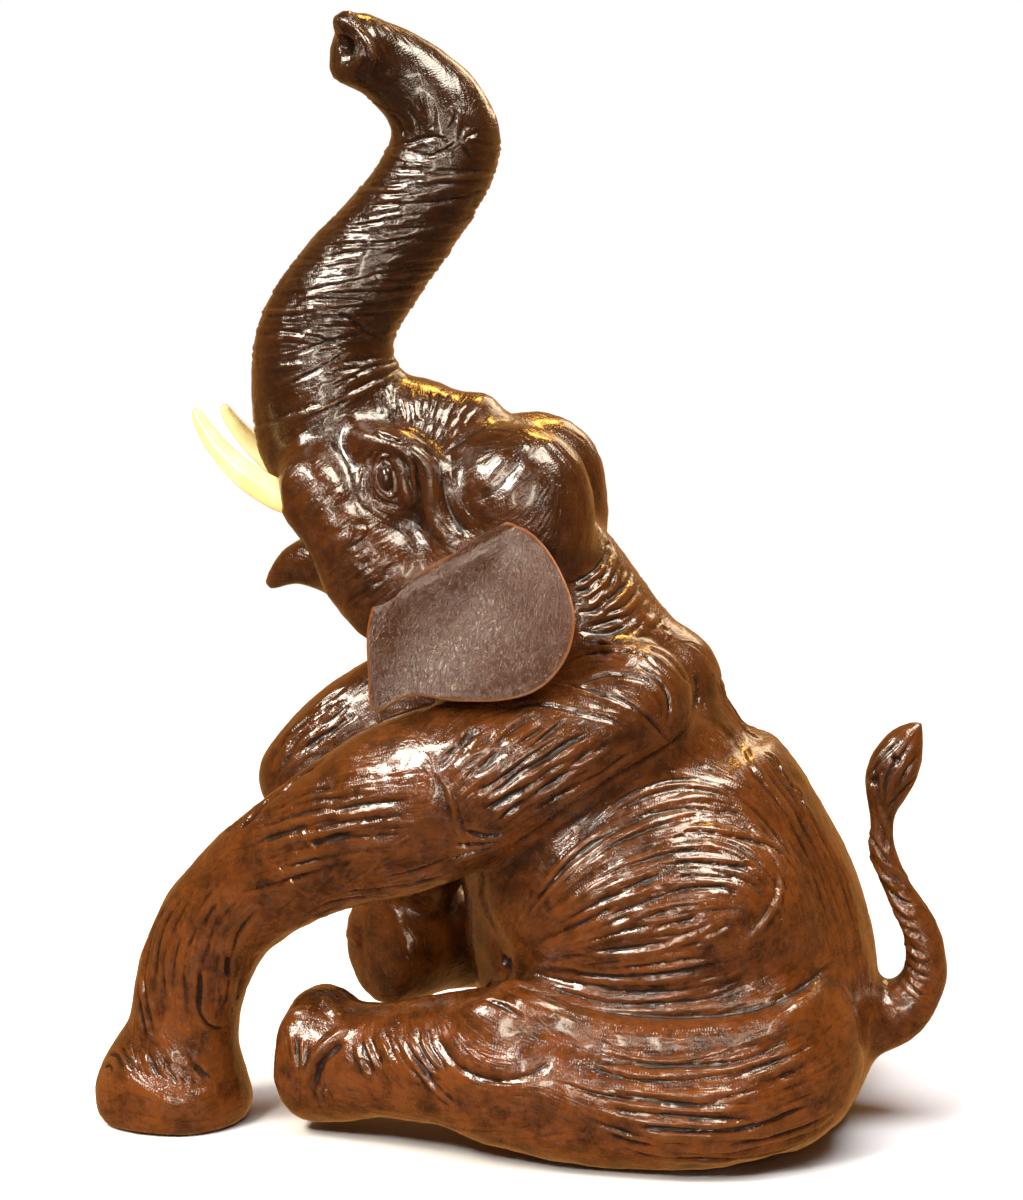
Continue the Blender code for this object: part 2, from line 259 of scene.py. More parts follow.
def bare_form():
    """The part's body as one soft closed form, with its slots and sockets filled."""
    bm = bmesh.new()
    bm.from_mesh(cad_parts["body"].data)
    bmesh.ops.remove_doubles(bm, verts=bm.verts, dist=0.00002)
    form = object_of("form", bm)
    modify(form, "DISPLACE", strength=SLOT_FILL * MM, mid_level=0.0)
    masses = [form]
    for side in (LEFT, RIGHT):
        x, y, z = np.add(EYE_CENTRE, EYE_SHOWN)
        masses.append(ball((x, -side * y, z), [r - EYE_PLUG_MARGIN for r in EYE_RADII]))
        x, y, z = np.add(TUSK[0][:3], TUSK_PLUG)
        drop = RIGHT_TUSK_DROP[0] if side == RIGHT else 0.0
        masses.append(ball((x, -side * y, z - drop), TUSK_PLUG_RADII))
    form = join_clay(masses)
    modify(form, "REMESH", mode="VOXEL", voxel_size=VOXEL * MM)
    modify(form, "DISPLACE", strength=-SLOT_FILL * MM, mid_level=0.0)
    modify(form, "SMOOTH", factor=0.5, iterations=FIRST_SMOOTHING)
    masses = [form] + [ball(*clay) for clay in ADDED_CLAY]
    form = join_clay(masses)
    modify(form, "REMESH", mode="VOXEL", voxel_size=VOXEL * MM)
    modify(form, "SMOOTH", factor=0.5, iterations=LAST_SMOOTHING)
    finer_cells(form)
    return form


def finer_cells(form):
    """Split the cells where the eyes and the tip of the trunk need finer forms."""
    bm = bmesh.new()
    bm.from_mesh(form.data)
    spots = [(at(*place), reach * MM) for *place, reach in FINE_SPOTS]
    faces = [face for face in bm.faces
             if any((face.verts[0].co - spot).length < reach for spot, reach in spots)]
    edges = list({edge for face in faces for edge in face.edges})
    bmesh.ops.subdivide_edges(bm, edges=edges, cuts=1, use_grid_fill=True)
    bm.to_mesh(form.data)
    bm.free()


# ---- strokes
STROKE_STEP = 1.3                  # between the samples of a stroke
STROKE_BREAK = 8 * MM              # a longer gap between two samples parts the stroke
TAPER = 0.28                       # the part of a stroke over which it fades at each end
GUIDE_COLUMNS = 60                 # samples along each guide of a family
STRAY = 0.3                        # how far a wrinkle may lie from its even place in its family


class Stroke:
    """A line on the skin along which the leather is raised or pressed in."""

    def __init__(self, path, up, width, height, profile, taper):
        self.path = path
        self.up = up
        self.width = width * MM
        self.height = height * MM
        self.profile = profile
        self.taper = taper


def groove(s):
    """A narrow groove between two soft lips."""
    return -np.exp(-(s / 0.55) ** 2) + 0.45 * np.exp(-((np.abs(s) - 1.6) / 0.95) ** 2)


def fold(s):
    """A fold lying over to one side: a sharp line, then a crest with a long back."""
    crest = np.where(s > 1.0, np.exp(-((s - 1.0) / 1.6) ** 2), np.exp(-((s - 1.0) / 0.6) ** 2))
    return 0.75 * crest - 0.8 * np.exp(-((s + 0.2) / 0.55) ** 2)


def fold_back(s):
    """The same fold, lying over to the other side."""
    return fold(-s)


def roll(s):
    """A rounded roll, or with a negative height a rounded valley."""
    return np.exp(-s ** 2)


def ridge(s):
    """A narrow crest between two slight grooves."""
    return np.exp(-(s / 0.7) ** 2) - 0.3 * np.exp(-((np.abs(s) - 1.6) / 0.8) ** 2)


class Skin:
    """The fine mesh of the body, its surface lookup and everything pressed into it."""
    CELL = 6 * MM              # vertices are looked up by cells of this size
    LIMB = 75 * MM             # a limb's skin is nearer to its axis than this
    REACH = 3.6                # a stroke works on the skin up to so many times its width
    FACING = 0.15              # and where the skin faces at least so much the stroke's way

    def __init__(self, made, smooth_form):
        self.made = made
        self.tree = tree_of(smooth_form)
        self.strokes = []
        self.trace = []
        self.refresh()

    def refresh(self):
        mesh = self.made.data
        self.co = coordinates(mesh)
        self.no = normals_of(mesh)
        self.rise = np.zeros(len(self.co))
        keys = self.key(np.floor(self.co / self.CELL).astype(np.int64))
        self.order = np.argsort(keys, kind="stable")
        self.keys = keys[self.order]

    @staticmethod
    def key(cells):
        return ((cells[..., 0] + 512) << 20) | ((cells[..., 1] + 512) << 10) | (cells[..., 2] + 512)

    def near(self, path, reach):
        """Vertices in the cells around a path."""
        n = int(np.ceil(reach / self.CELL))
        steps = np.arange(-n, n + 1)
        around = np.stack(np.meshgrid(steps, steps, steps), axis=-1).reshape(-1, 3)
        cells = np.unique(np.floor(path / self.CELL).astype(np.int64), axis=0)
        keys = np.unique(self.key(cells[:, None] + around[None]))
        starts = np.searchsorted(self.keys, keys, "left")
        ends = np.searchsorted(self.keys, keys, "right")
        parts = [self.order[s:e] for s, e in zip(starts, ends) if e > s]
        return np.concatenate(parts) if parts else np.zeros(0, dtype=np.int64)

    def from_side(self, side, points):
        """The places on the skin seen at x, z from the elephant's left or right."""
        found, ups = [], []
        depth = 0.0
        for x, z in points:
            start = at(x, side * 300, z)
            hit, up, face, far = self.tree.ray_cast(start, Vector((0, -side, 0)))
            if hit is None:
                hit, up, face, far = self.tree.find_nearest(at(x, depth, z))
            depth = (hit.y - ORIGIN.y) / MM
            found.append(hit)
            ups.append(up)
        return np.array(found), np.array(ups)

    def from_axis(self, origins, directions):
        """The places on the skin met by rays that leave a limb's axis."""
        found, ups = [], []
        for start, direction in zip(origins, directions):
            hit, up, face, far = self.tree.ray_cast(start, direction)
            if hit is None or far > self.LIMB:
                return None
            found.append(hit)
            ups.append(up)
        return np.array(found), np.array(ups)

    def add(self, path, up, width, height, profile, taper=TAPER):
        stroke = Stroke(path, up, width, height, profile, taper)
        self.strokes.append(stroke)
        self.trace.append(stroke)

    def press(self, limit=None):
        """Work all waiting strokes into the skin."""
        for stroke in self.strokes:
            self.press_one(stroke)
        self.strokes = []
        if limit is not None:
            self.rise = limit * MM * np.tanh(self.rise / (limit * MM))
        set_coordinates(self.made.data, self.co + self.no * self.rise[:, None])
        self.refresh()

    def press_one(self, stroke):
        path, up = stroke.path, stroke.up
        last = len(path) - 1
        tangent = np.gradient(path, axis=0)
        tangent /= np.linalg.norm(tangent, axis=1, keepdims=True) + 1e-12
        across = np.cross(up, tangent)
        reach = self.REACH * stroke.width
        ids = self.near(path, reach)
        if not len(ids):
            return
        place = self.co[ids]
        gap = (place ** 2).sum(1)[:, None] - 2 * place @ path.T + (path ** 2).sum(1)[None]
        nearest = gap.argmin(1)
        keep = gap[np.arange(len(ids)), nearest] < reach ** 2
        keep &= (self.no[ids] * up[nearest]).sum(1) > self.FACING
        ids, nearest, place = ids[keep], nearest[keep], place[keep]
        offset = place - path[nearest]
        run = (offset * tangent[nearest]).sum(1)
        sideways = offset - run[:, None] * tangent[nearest]
        sign = np.where((sideways * across[nearest]).sum(1) < 0, -1.0, 1.0)
        distance = np.linalg.norm(sideways, axis=1)
        ends = (nearest == 0) | (nearest == last)
        distance = np.where(ends, np.linalg.norm(offset, axis=1), distance)
        t = nearest / last
        taper = np.clip(np.minimum(t, 1 - t) / stroke.taper, 0, 1)
        taper = taper * taper * (3 - 2 * taper)
        width = stroke.width * (0.6 + 0.4 * taper)
        self.rise[ids] += stroke.height * taper * stroke.profile(sign * distance / width)


def draw(skin, side, points, width, height, profile=groove, taper=TAPER):
    """A stroke given by its x, z as seen from one side, parted where the skin drops away."""
    curve = evenly(catmull_rom(points, 6), STROKE_STEP)
    path, up = skin.from_side(side, curve)
    breaks = np.flatnonzero(np.linalg.norm(np.diff(path, axis=0), axis=1) > STROKE_BREAK)
    starts = [0, *(breaks + 1)]
    ends = [*(breaks + 1), len(path)]
    for first, last in zip(starts, ends):
        if last - first > 3:
            skin.add(path[first:last], up[first:last], width, height, profile, taper)


def draw_all(skin, side, lines, *how):
    for points in lines:
        draw(skin, side, points, *how)


def closed_line(points):
    return [*points, points[0]]


def family(skin, side, guides, count, width, height, run, profile=groove):
    """Wrinkles that flow between guide lines, each over a part of the way."""
    columns = np.arange(GUIDE_COLUMNS)
    spread = []
    for guide in guides:
        curve = evenly(catmull_rom(guide, 8), 1.0)
        spread.append(curve[np.linspace(0, len(curve) - 1, GUIDE_COLUMNS).astype(int)])
    spread = np.array(spread)
    bands = len(guides) - 1
    for k in range(count):
        level = (k + 0.5 + rng.uniform(-STRAY, STRAY)) / count * bands
        tilt = rng.uniform(-0.5, 0.5) / count * bands
        wave = 0.12 / count * bands * np.sin(columns * rng.uniform(0.15, 0.4) + rng.uniform(0, 6))
        levels = level + tilt * np.linspace(-1, 1, GUIDE_COLUMNS) + wave
        levels = np.clip(levels, 0, bands - 0.001)
        low = levels.astype(int)
        share = (levels - low)[:, None]
        curve = spread[low, columns] * (1 - share) + spread[low + 1, columns] * share
        length = rng.uniform(*run)
        start = rng.uniform(0, 1 - length)
        first, last = (int(part * (GUIDE_COLUMNS - 1)) for part in (start, start + length))
        piece = curve[first:last + 1:3]
        if len(piece) > 3:
            draw(skin, side, piece, width * rng.uniform(0.75, 1.25),
                 height * rng.uniform(0.5, 1.2), profile)


def ring(skin, centre, slope, width, height, profile=groove, turn=(0.0, 2 * pi), wobble=1.0):
    """A wrinkle round a limb, in a plane that rises by slope degrees towards the tail."""
    along = Vector((cos(radians(slope)), 0, sin(radians(slope))))
    across = Vector((0, 1, 0))
    lift = Vector((-along.z, 0, along.x))
    turns = np.linspace(*turn, max(12, int(18 * (turn[1] - turn[0]))))
    phases = rng.uniform(0, 2 * pi, 3)
    wave = sum(np.sin(k * turns + phase) / k for k, phase in zip((2, 3, 5), phases)) * wobble
    middle = at(*centre)
    origins = [middle + lift * (float(w) * MM) for w in wave]
    directions = [along * -sin(a) - across * cos(a) for a in turns]
    found = skin.from_axis(origins, directions)
    if found is not None:
        skin.add(*found, width, height, profile)


def fine_wrinkles(skin, count):
    """Short creases everywhere that follow the wrinkles already drawn nearby."""
    finder, headings = headings_of(skin)
    for seed in rng.integers(0, len(skin.co), count):
        spot, up = Vector(skin.co[seed]), Vector(skin.no[seed])
        if spot.z < FLOOR_CLEAR * MM:
            continue
        steps = int(rng.integers(*FINE_STEPS))
        path, ups = [spot], [up]
        way = None
        turn = rng.uniform(-FINE_TURN, FINE_TURN)
        for _ in range(steps):
            close = finder.find_n(spot, 5)
            total = Vector((0, 0, 0))
            for _, index, distance in close:
                heading = Vector(headings[index])
                if total.dot(heading) < 0:
                    heading = -heading
                total += heading / (distance + 0.002) ** 2
            total -= up * total.dot(up)
            if total.length < 1e-9:
                break
            total.normalize()
            if way is not None and total.dot(way) < 0:
                total = -total
            way = (total + up.cross(total) * turn).normalized()
            hit, up, face, far = skin.tree.find_nearest(spot + way * FINE_STEP * MM)
            spot = hit
            path.append(hit)
            ups.append(up)
        if len(path) > 5:
            kind = (groove, ridge, fold)[int(rng.integers(0, 3))]
            skin.add(np.array(path), np.array(ups), rng.uniform(*FINE_WIDTHS),
                     rng.uniform(*FINE_HEIGHTS), kind, 0.45)


def pressed_by_hand(skin):
    """Soft unevenness, from waves in all directions."""
    for length, height, waves in HAND_WAVES:
        ways = rng.normal(size=(waves, 3))
        ways /= np.linalg.norm(ways, axis=1, keepdims=True)
        ways *= 2 * pi / (length * MM * rng.uniform(0.7, 1.4, (waves, 1)))
        phases = rng.uniform(0, 2 * pi, waves)
        skin.rise += height * MM * np.sin(skin.co @ ways.T + phases).sum(1) / np.sqrt(waves / 2)


# ---- what is drawn on the skin
BOTH = (LEFT, RIGHT)

# The trunk: x and z of its axis, and the slope of its rings.
TRUNK_RINGS = (
    (-36, 540, -20), (-36, 530, -8), (-45, 510, 5), (-62, 490, 9), (-78, 468, 8),
    (-90, 448, 4), (-98, 430, 2), (-101, 414, 8), (-99, 398, 22), (-95, 386, 36),
)
TRUNK_RING_STEP, FINE_RING_STEP = 4.0, 2.1
TRUNK_CROSSINGS = (   # creases that cut across the rings
    ((-127, 434), (-110, 432), (-92, 428), (-77, 419)), ((-92, 446), (-81, 439), (-68, 427)),
    ((-63, 529), (-50, 532), (-38, 535), (-26, 533)), ((-24, 533), (-14, 538)),
    ((-24, 533), (-17, 522)), ((-24, 533), (-33, 527), (-46, 523)), ((-24, 533), (-22, 541)),
    ((-104, 476), (-84, 479), (-62, 480), (-42, 484)), ((-92, 486), (-60, 492), (-38, 497)),
    ((-73, 506), (-58, 505), (-32, 510)), ((-120, 446), (-98, 450), (-66, 449)),
    ((-113, 420), (-92, 428), (-72, 432)), ((-118, 404), (-100, 412), (-80, 424)),
    ((-62, 548), (-56, 541), (-54, 534)), ((-52, 552), (-47, 543), (-46, 535)),
    ((-40, 556), (-37, 547), (-39, 538)), ((-28, 552), (-26, 545), (-31, 537)),
)
TRUNK_TIP_RIM = ((-84, 597), (-79, 593), (-73, 588), (-69, 582), (-67, 575), (-68, 568))
TRUNK_TIP_INNER = ((-79, 590), (-74, 584), (-73, 577), (-76, 571))
TRUNK_TIP_HOLLOW = ((-84, 588), (-81, 580), (-80, 572))
NOSTRIL = ((-83, 588), (-83.5, 583), (-85, 577.5))
NOSTRIL_BEAD = closed_line(((-85, 578), (-82, 579), (-80, 576), (-82, 572), (-85, 573)))

# Round the eye.
LID = ((-51.7, 345.7), (-55.1, 347), (-59.2, 348.3), (-62.6, 350.9), (-64.6, 354.8), (-65.4, 359.3),
       (-65, 364.5), (-62.2, 369.4), (-59.2, 370.6), (-56.6, 369))
LID_GROOVE = ((-50, 343.5), (-55, 344.8), (-60.4, 346.4), (-64.4, 349.4), (-66.8, 354.4), (-67.4, 359.5),
              (-66.8, 365.6), (-63.4, 371.6), (-58.6, 373))
THICK_LID = ((-57.6, 369), (-53, 366.6), (-50.6, 362), (-49.6, 356.6), (-48.4, 351.4), (-46.6, 345.7),
             (-44.2, 342.4))
SECOND_LID = ((-52, 374), (-48.4, 372.4), (-45.2, 367.1), (-44.3, 361.9), (-43.4, 355.4), (-42.6, 348.9))
INNER_LID = closed_line(((-61.2, 366.4), (-63.6, 362.5), (-63.6, 358), (-62, 353.5), (-58.6, 350),
                         (-55.6, 349.6), (-54.2, 352.6), (-54.2, 357.5), (-55.4, 362.4), (-57.8, 365.8)))
LID_FOLDS = (
    ((-54, 371.6), (-50.6, 370), (-47.2, 365.2), (-46.2, 359.3), (-45.5, 352.8), (-44.2, 345)),
    ((-49, 375), (-44.4, 371), (-42.5, 365.8), (-41.8, 358), (-41, 350.2), (-41.4, 344)),
)
BROW_ROLL = ((-63, 378.5), (-50, 374.5), (-40.5, 370.5), (-36, 364), (-35, 356), (-36, 347),
             (-34, 338), (-28, 330), (-21, 324))
TEMPLE_CREASE = ((-44, 376.5), (-35.5, 373), (-30, 365), (-28.6, 356), (-26.7, 347), (-23, 338.5),
                 (-18, 332.5), (-12, 328.5))
BROW_CREASE = ((-77, 381), (-71, 384.5), (-66, 383.5), (-61, 380.5), (-53, 378), (-44, 377))
CHEEK_VALLEY = ((-87, 374), (-81, 364), (-77, 356), (-73, 348), (-66, 342), (-60, 336.5),
                (-53, 331.5), (-45, 325))
EYE_ARCS = (
    ((-68.5, 367), (-71, 361), (-71.6, 354), (-69, 347.5), (-64, 343)),
    ((-67, 371), (-73.5, 364), (-75, 356), (-72.5, 349)),
    ((-62, 374.5), (-67, 371), (-69, 364)),
)
CHEEK = (
    ((-106, 350), (-96, 357), (-86, 366)), ((-104, 340), (-90, 350), (-78, 360)),
    ((-100, 328), (-85, 339), (-71, 350)), ((-94, 315), (-76, 328), (-58, 338)),
    ((-90, 304), (-70, 318), (-52, 329)), ((-84, 294), (-64, 308), (-46, 320)),
    ((-76, 284), (-58, 297), (-44, 308)),
)
FOREHEAD = (
    ((-74, 404), (-70, 395), (-66, 386)), ((-60, 406), (-56, 394), (-52, 381)),
    ((-46, 405), (-45, 393), (-45, 380)), ((-34, 401), (-36, 389), (-40, 377)),
    ((-22, 398), (-28, 387), (-35, 372)), ((-10, 392), (-18, 384), (-26, 374)),
)
KNOB_CREASE = ((-30, 371), (-22, 377), (-12, 382), (-3, 386))
DOME_LINES = (
    ((16, 382), (28, 374), (38, 362), (42, 348), (41, 330), (35, 316)),
    ((-22, 372), (-16, 378), (-6, 382), (6, 382)),
)
TEMPLE_OVAL = ((16, 373), (7, 362), (-3, 353), (-16, 347))
NECK = (
    ((34, 304), (44, 306), (51, 314), (53, 326)), ((37, 295), (50, 299), (57, 308), (56, 320)),
    ((38, 284), (55, 286), (67, 293), (71, 304)), ((40, 276), (61, 277), (75, 283), (80, 292)),
    ((42, 267), (62, 268), (80, 272), (90, 280)),
)

# The shoulder and the near foreleg.
SHOULDER_CREASE = ((30, 258), (44, 257), (58, 254), (72, 249), (84, 239), (92, 226), (94, 214))
SHOULDER_DIAGONALS = (
    ((-24, 218), (-10, 232), (8, 243)), ((-18, 207), (0, 222), (20, 238), (38, 248)),
    ((-13, 197), (8, 214), (31, 230), (55, 244)), ((-5, 193), (18, 210), (41, 225), (66, 240)),
    ((5, 190), (27, 206), (53, 220), (80, 235)), ((12, 184), (34, 198), (60, 212), (86, 227)),
)
SHOULDER_TOP = (
    ((2, 243), (23, 248), (43, 246), (64, 241), (78, 232)),
    ((34, 264), (56, 271), (77, 271), (88, 263)),
    ((40, 256), (60, 262), (80, 260), (90, 250)),
    ((72, 268), (84, 262), (91, 254), (93, 243), (88, 231)),
)
ELBOW_VEIN = ((-27, 220), (-18, 210), (-14, 198), (-11, 184), (-5, 170))
ELBOW_SLITS = (((-10, 186), (2, 182), (15, 183)), ((-20, 166), (-8, 172), (6, 174)),
               ((-16, 178), (-4, 177), (8, 178)))
UPPER_FORELEG = (
    ((-122, 184), (-98, 200), (-66, 212), (-30, 222)), ((-128, 176), (-98, 190), (-60, 202), (-26, 210)),
    ((-134, 164), (-100, 178), (-62, 190), (-22, 196)), ((-138, 150), (-104, 164), (-64, 176), (-20, 180)),
    ((-136, 138), (-106, 150), (-66, 162), (-26, 166)),
)
FORELEG_VEINS = (
    ((-98, 183), (-91, 174), (-83, 164)), ((-82, 147), (-62, 172), (-44, 197)),
    ((-101, 136), (-83, 154), (-64, 175)), ((-70, 150), (-50, 170), (-34, 186)),
    ((-118, 168), (-100, 150), (-86, 138)),
)
LOWER_FORELEG = (
    ((-168, 142), (-184, 118), (-192, 92), (-189, 70), (-182, 52)),
    ((-154, 146), (-170, 120), (-176, 92), (-174, 68), (-170, 48)),
    ((-136, 148), (-154, 122), (-161, 95), (-160, 70), (-160, 48)),
    ((-118, 146), (-138, 120), (-147, 92), (-149, 70), (-152, 50)),
    ((-100, 144), (-118, 125), (-132, 100), (-140, 76), (-143, 56)),
)
FORELEG_DEEP = (((-157, 92), (-158, 76), (-155, 66), (-150, 61), (-144, 60)),
                ((-141, 120), (-142, 92), (-146, 70)), ((-156, 100), (-157, 72)))
FORELEG_FRONT = (((-191, 94), (-190, 78), (-186, 60), (-178, 52)),
                 ((-187, 96), (-185, 78), (-181, 64)), ((-194, 84), (-193, 68), (-189, 56)))
ANKLE = (((-190, 52), (-184, 42), (-176, 32)), ((-182, 50), (-174, 38), (-166, 28)),
         ((-173, 50), (-164, 38), (-156, 28)), ((-164, 50), (-156, 40), (-148, 32)))
FOREFOOT_ROLL = ((-212, 30), (-200, 34), (-186, 30), (-172, 26), (-158, 24), (-146, 28))
TOE_CREASES = (((-213, 40), (-206, 43), (-200, 39), (-196, 34)), ((-204, 48), (-198, 44), (-193, 38)),
               ((-215, 34), (-210, 37), (-206, 34)))
FAR_FORELEG = (
    ((-148, 172), (-134, 196), (-112, 218), (-90, 236)),
    ((-138, 170), (-122, 192), (-104, 210), (-86, 226)),
    ((-126, 176), (-112, 192), (-96, 206), (-80, 216)),
)

# The trunk of the body, the thigh and the hind leg.
FLANK = (
    ((14, 122), (24, 150), (50, 184), (85, 206), (120, 202), (150, 174), (166, 144), (170, 118)),
    ((14, 117), (27, 142), (55, 171), (90, 187), (125, 187), (148, 166), (160, 140), (162, 120)),
    ((15, 114), (31, 134), (60, 158), (95, 171), (128, 168), (148, 152), (154, 136), (152, 122)),
    ((16, 111), (34, 124), (66, 142), (95, 153), (124, 153), (140, 146), (146, 134), (142, 124)),
    ((16, 108), (38, 115), (66, 124), (96, 130), (120, 136), (132, 140), (136, 132), (134, 124)),
    ((16, 105), (38, 108), (69, 111), (100, 116), (122, 120), (140, 126)),
    ((16, 102), (38, 100), (68, 97), (100, 99), (124, 104), (150, 114)),
    ((14, 99), (40, 91), (75, 88), (110, 88), (138, 93), (160, 104)),
)
FLANK_DEEP = (
    ((76, 189), (100, 192), (132, 187)), ((92, 176), (106, 182), (128, 178), (148, 170), (164, 152)),
    ((84, 163), (107, 168), (143, 163)), ((62, 139), (89, 151), (109, 156), (130, 156)),
    ((80, 130), (98, 138), (116, 143)),
)
FLANK_RIDGES = (
    ((38, 120), (68, 119), (92, 124), (112, 132), (126, 142)),
    ((30, 111), (69, 109), (98, 113), (124, 119)),
    ((30, 100), (66, 94), (98, 97), (126, 104)), ((70, 148), (88, 157), (104, 162)),
    ((62, 131), (84, 143), (100, 147)), ((72, 128), (92, 134), (108, 142)),
    ((151, 162), (152, 150), (146, 138), (136, 126)),
)
BACK = (
    ((98, 266), (122, 236), (150, 201), (172, 166), (187, 131), (195, 98)),
    ((106, 244), (128, 216), (150, 188), (169, 156), (182, 122), (190, 92)),
    ((112, 226), (134, 203), (152, 178), (166, 150), (176, 120), (182, 96)),
)
BACK_SHORT = (
    ((112, 248), (120, 240), (126, 228)), ((126, 226), (132, 220), (134, 210)),
    ((138, 212), (146, 206), (150, 196)), ((150, 196), (158, 190), (160, 180)),
)
THIGH_TOP = ((10, 99), (26, 92), (45, 85), (70, 79), (103, 78), (134, 81), (159, 91), (180, 99))
THIGH = (
    ((42, 70), (73, 67), (104, 67), (134, 69), (160, 78), (188, 92)),
    ((36, 64), (66, 60), (102, 59), (134, 62), (166, 72), (192, 88)),
    ((30, 61), (60, 54), (95, 50), (138, 50), (172, 58), (195, 74)),
    ((38, 50), (66, 42), (100, 38), (142, 38), (176, 46), (197, 60)),
    ((50, 38), (80, 29), (108, 26), (144, 26), (176, 33), (197, 46)),
    ((66, 24), (92, 16), (120, 13), (150, 14), (178, 20), (194, 30)),
)
ARM_EDGE = ((80, 274), (91, 268), (100, 257), (104, 244), (99, 228), (84, 218), (65, 208), (44, 194),
            (23, 179), (8, 168))
THIGH_CREASE = ((2, 103), (26, 97), (56, 90), (87, 88), (118, 89), (143, 93), (164, 101), (182, 108))
THIGH_DEEP = (
    ((40, 76), (72, 69), (99, 67), (127, 72), (158, 82), (178, 92)),
    ((40, 70), (76, 61), (104, 60), (130, 64)), ((30, 61), (60, 53), (95, 49), (138, 49), (171, 55)),
    ((54, 46), (77, 40), (110, 36), (142, 37), (171, 44)), ((63, 34), (80, 28), (100, 25)),
)
KNEECAP = ((-26, 78), (-18, 66), (-4, 58), (12, 56), (28, 60), (42, 70))
KNEE_PLEATS = (((4, 100), (22, 93), (40, 84)), ((14, 102), (32, 94), (50, 84)),
               ((-6, 94), (10, 92), (26, 84)))
SHIN = (
    ((-71, 62), (-66, 54), (-60, 44)), ((-66, 68), (-62, 60), (-54, 50)), ((-57, 69), (-50, 60), (-42, 50)),
    ((-49, 71), (-37, 59), (-24, 46), (-8, 34)), ((-40, 72), (-32, 62), (-20, 52)),
    ((-34, 78), (-29, 66), (-18, 56)),
)
HEEL_PLEAT = ((-99, 32), (-98, 42), (-94, 51), (-89, 58), (-81, 65), (-72, 70))
HEEL_VALLEY = ((-93, 34), (-90, 48), (-84, 56), (-75, 64))
HEEL_SHORT = (((-108, 66), (-105, 54), (-101, 41)), ((-100, 64), (-100, 52), (-100, 42)),
              ((-91, 38), (-90, 28)), ((-87, 38), (-86, 29)))
HIND_TOES = (((-112, 70), (-104, 73), (-96, 72)), ((-104, 82), (-97, 84), (-90, 82)),
             ((-96, 78), (-88, 76), (-82, 71)))
TAIL_TWIST = (
    ((196, 172), (195.5, 161.5), (197, 149.5), (202, 141.4), (209, 136), (217, 134.8)),
    ((204.6, 130.7), (211.6, 124), (220, 118.7)), ((213, 113.3), (221.4, 106.7)),
    ((198, 184), (203, 172), (206, 160), (204, 150)), ((205, 149), (212, 142), (217, 133)),
    ((207, 124), (213, 117), (222, 113)), ((213, 104), (221, 99), (230, 97)),
)
TAIL_SLITS = (((214, 86), (220, 81), (228, 76)), ((213, 95), (221, 90), (230, 87)),
              ((193, 166), (200, 156), (207, 146)), ((203, 136), (212, 129), (221, 126)))
TUFT_VEINS = (
    ((219, 222), (213, 211), (206, 201), (203, 190), (203, 179)),
    ((213, 219), (203, 209), (196, 200), (191, 192)), ((221, 199), (213, 190), (203, 178)),
    ((222, 212), (215, 202), (210, 192)), ((197, 203), (199, 192), (200, 181)),
)
TUFT_PITS = (((210, 208), (207.5, 205.5)), ((198.5, 195), (193.5, 192.5)))
ARM_UNDER = (
    ((-100, 131), (-77, 141), (-51, 145)), ((-84, 145), (-55, 150), (-29, 155), (-6, 165)),
    ((-60, 156), (-34, 162), (-14, 172)),
)
LOWER_SHANK = (
    ((-84, 28), (-50, 24), (-14, 22), (30, 26)), ((-76, 40), (-46, 38), (-10, 36), (32, 44)),
)


# What is done, with which lines, and how. A line has a width and a height in millimetres, a profile,
# and the part over which it fades at its ends. A family has a number of wrinkles, their width and
# height, the shortest and longest part of the way that one of them covers, and a profile.

# What has to stand before the wrinkles are drawn over it.
TIP_FORMS = (
    (draw, TRUNK_TIP_RIM, 2.4, 3.2, roll),
    (draw, TRUNK_TIP_HOLLOW, 4.5, -3.4, roll),
    (draw, TRUNK_TIP_INNER, 1.5, 1.8, roll),
    (draw, NOSTRIL, 2.5, -11.0, roll, 0.3),
)
FACE_FORMS = (
    (draw, BROW_ROLL, 4.2, 2.2, roll, 0.15),
    (draw, TEMPLE_CREASE, 3.0, -2.4, roll, 0.15),
    (draw, CHEEK_VALLEY, 5.0, -1.6, roll, 0.2),
    (draw, BROW_CREASE, 2.4, -1.8, roll),
    (draw, THICK_LID, 3.6, 2.6, roll, 0.15),
    (draw, SECOND_LID, 1.4, 1.3, roll),
    (draw, KNOB_CREASE, 2.2, -1.4, roll),
    (draw, TEMPLE_OVAL, 4.0, -1.3, roll),
    (draw, DOME_LINES[0], 4.0, -1.0, roll),
)
LIMB_FORMS = (
    (draw, THIGH_TOP, 8.0, 4.6, roll, 0.12),
    (draw, THIGH_CREASE, 3.4, -4.2, roll, 0.12),
    (draw, KNEECAP, 2.8, -2.0, roll, 0.15),
    (draw, ARM_EDGE, 3.2, -2.2, roll, 0.12),
    (draw, HEEL_PLEAT, 3.0, 2.6, roll, 0.2),
    (draw, HEEL_VALLEY, 2.4, -2.4, roll),
    (draw_all, HIND_TOES, 3.4, 1.6, roll),
    (draw, FOREFOOT_ROLL, 6.0, 1.8, roll, 0.2),
    (draw_all, FLANK_DEEP, 2.8, -1.2, roll),
)

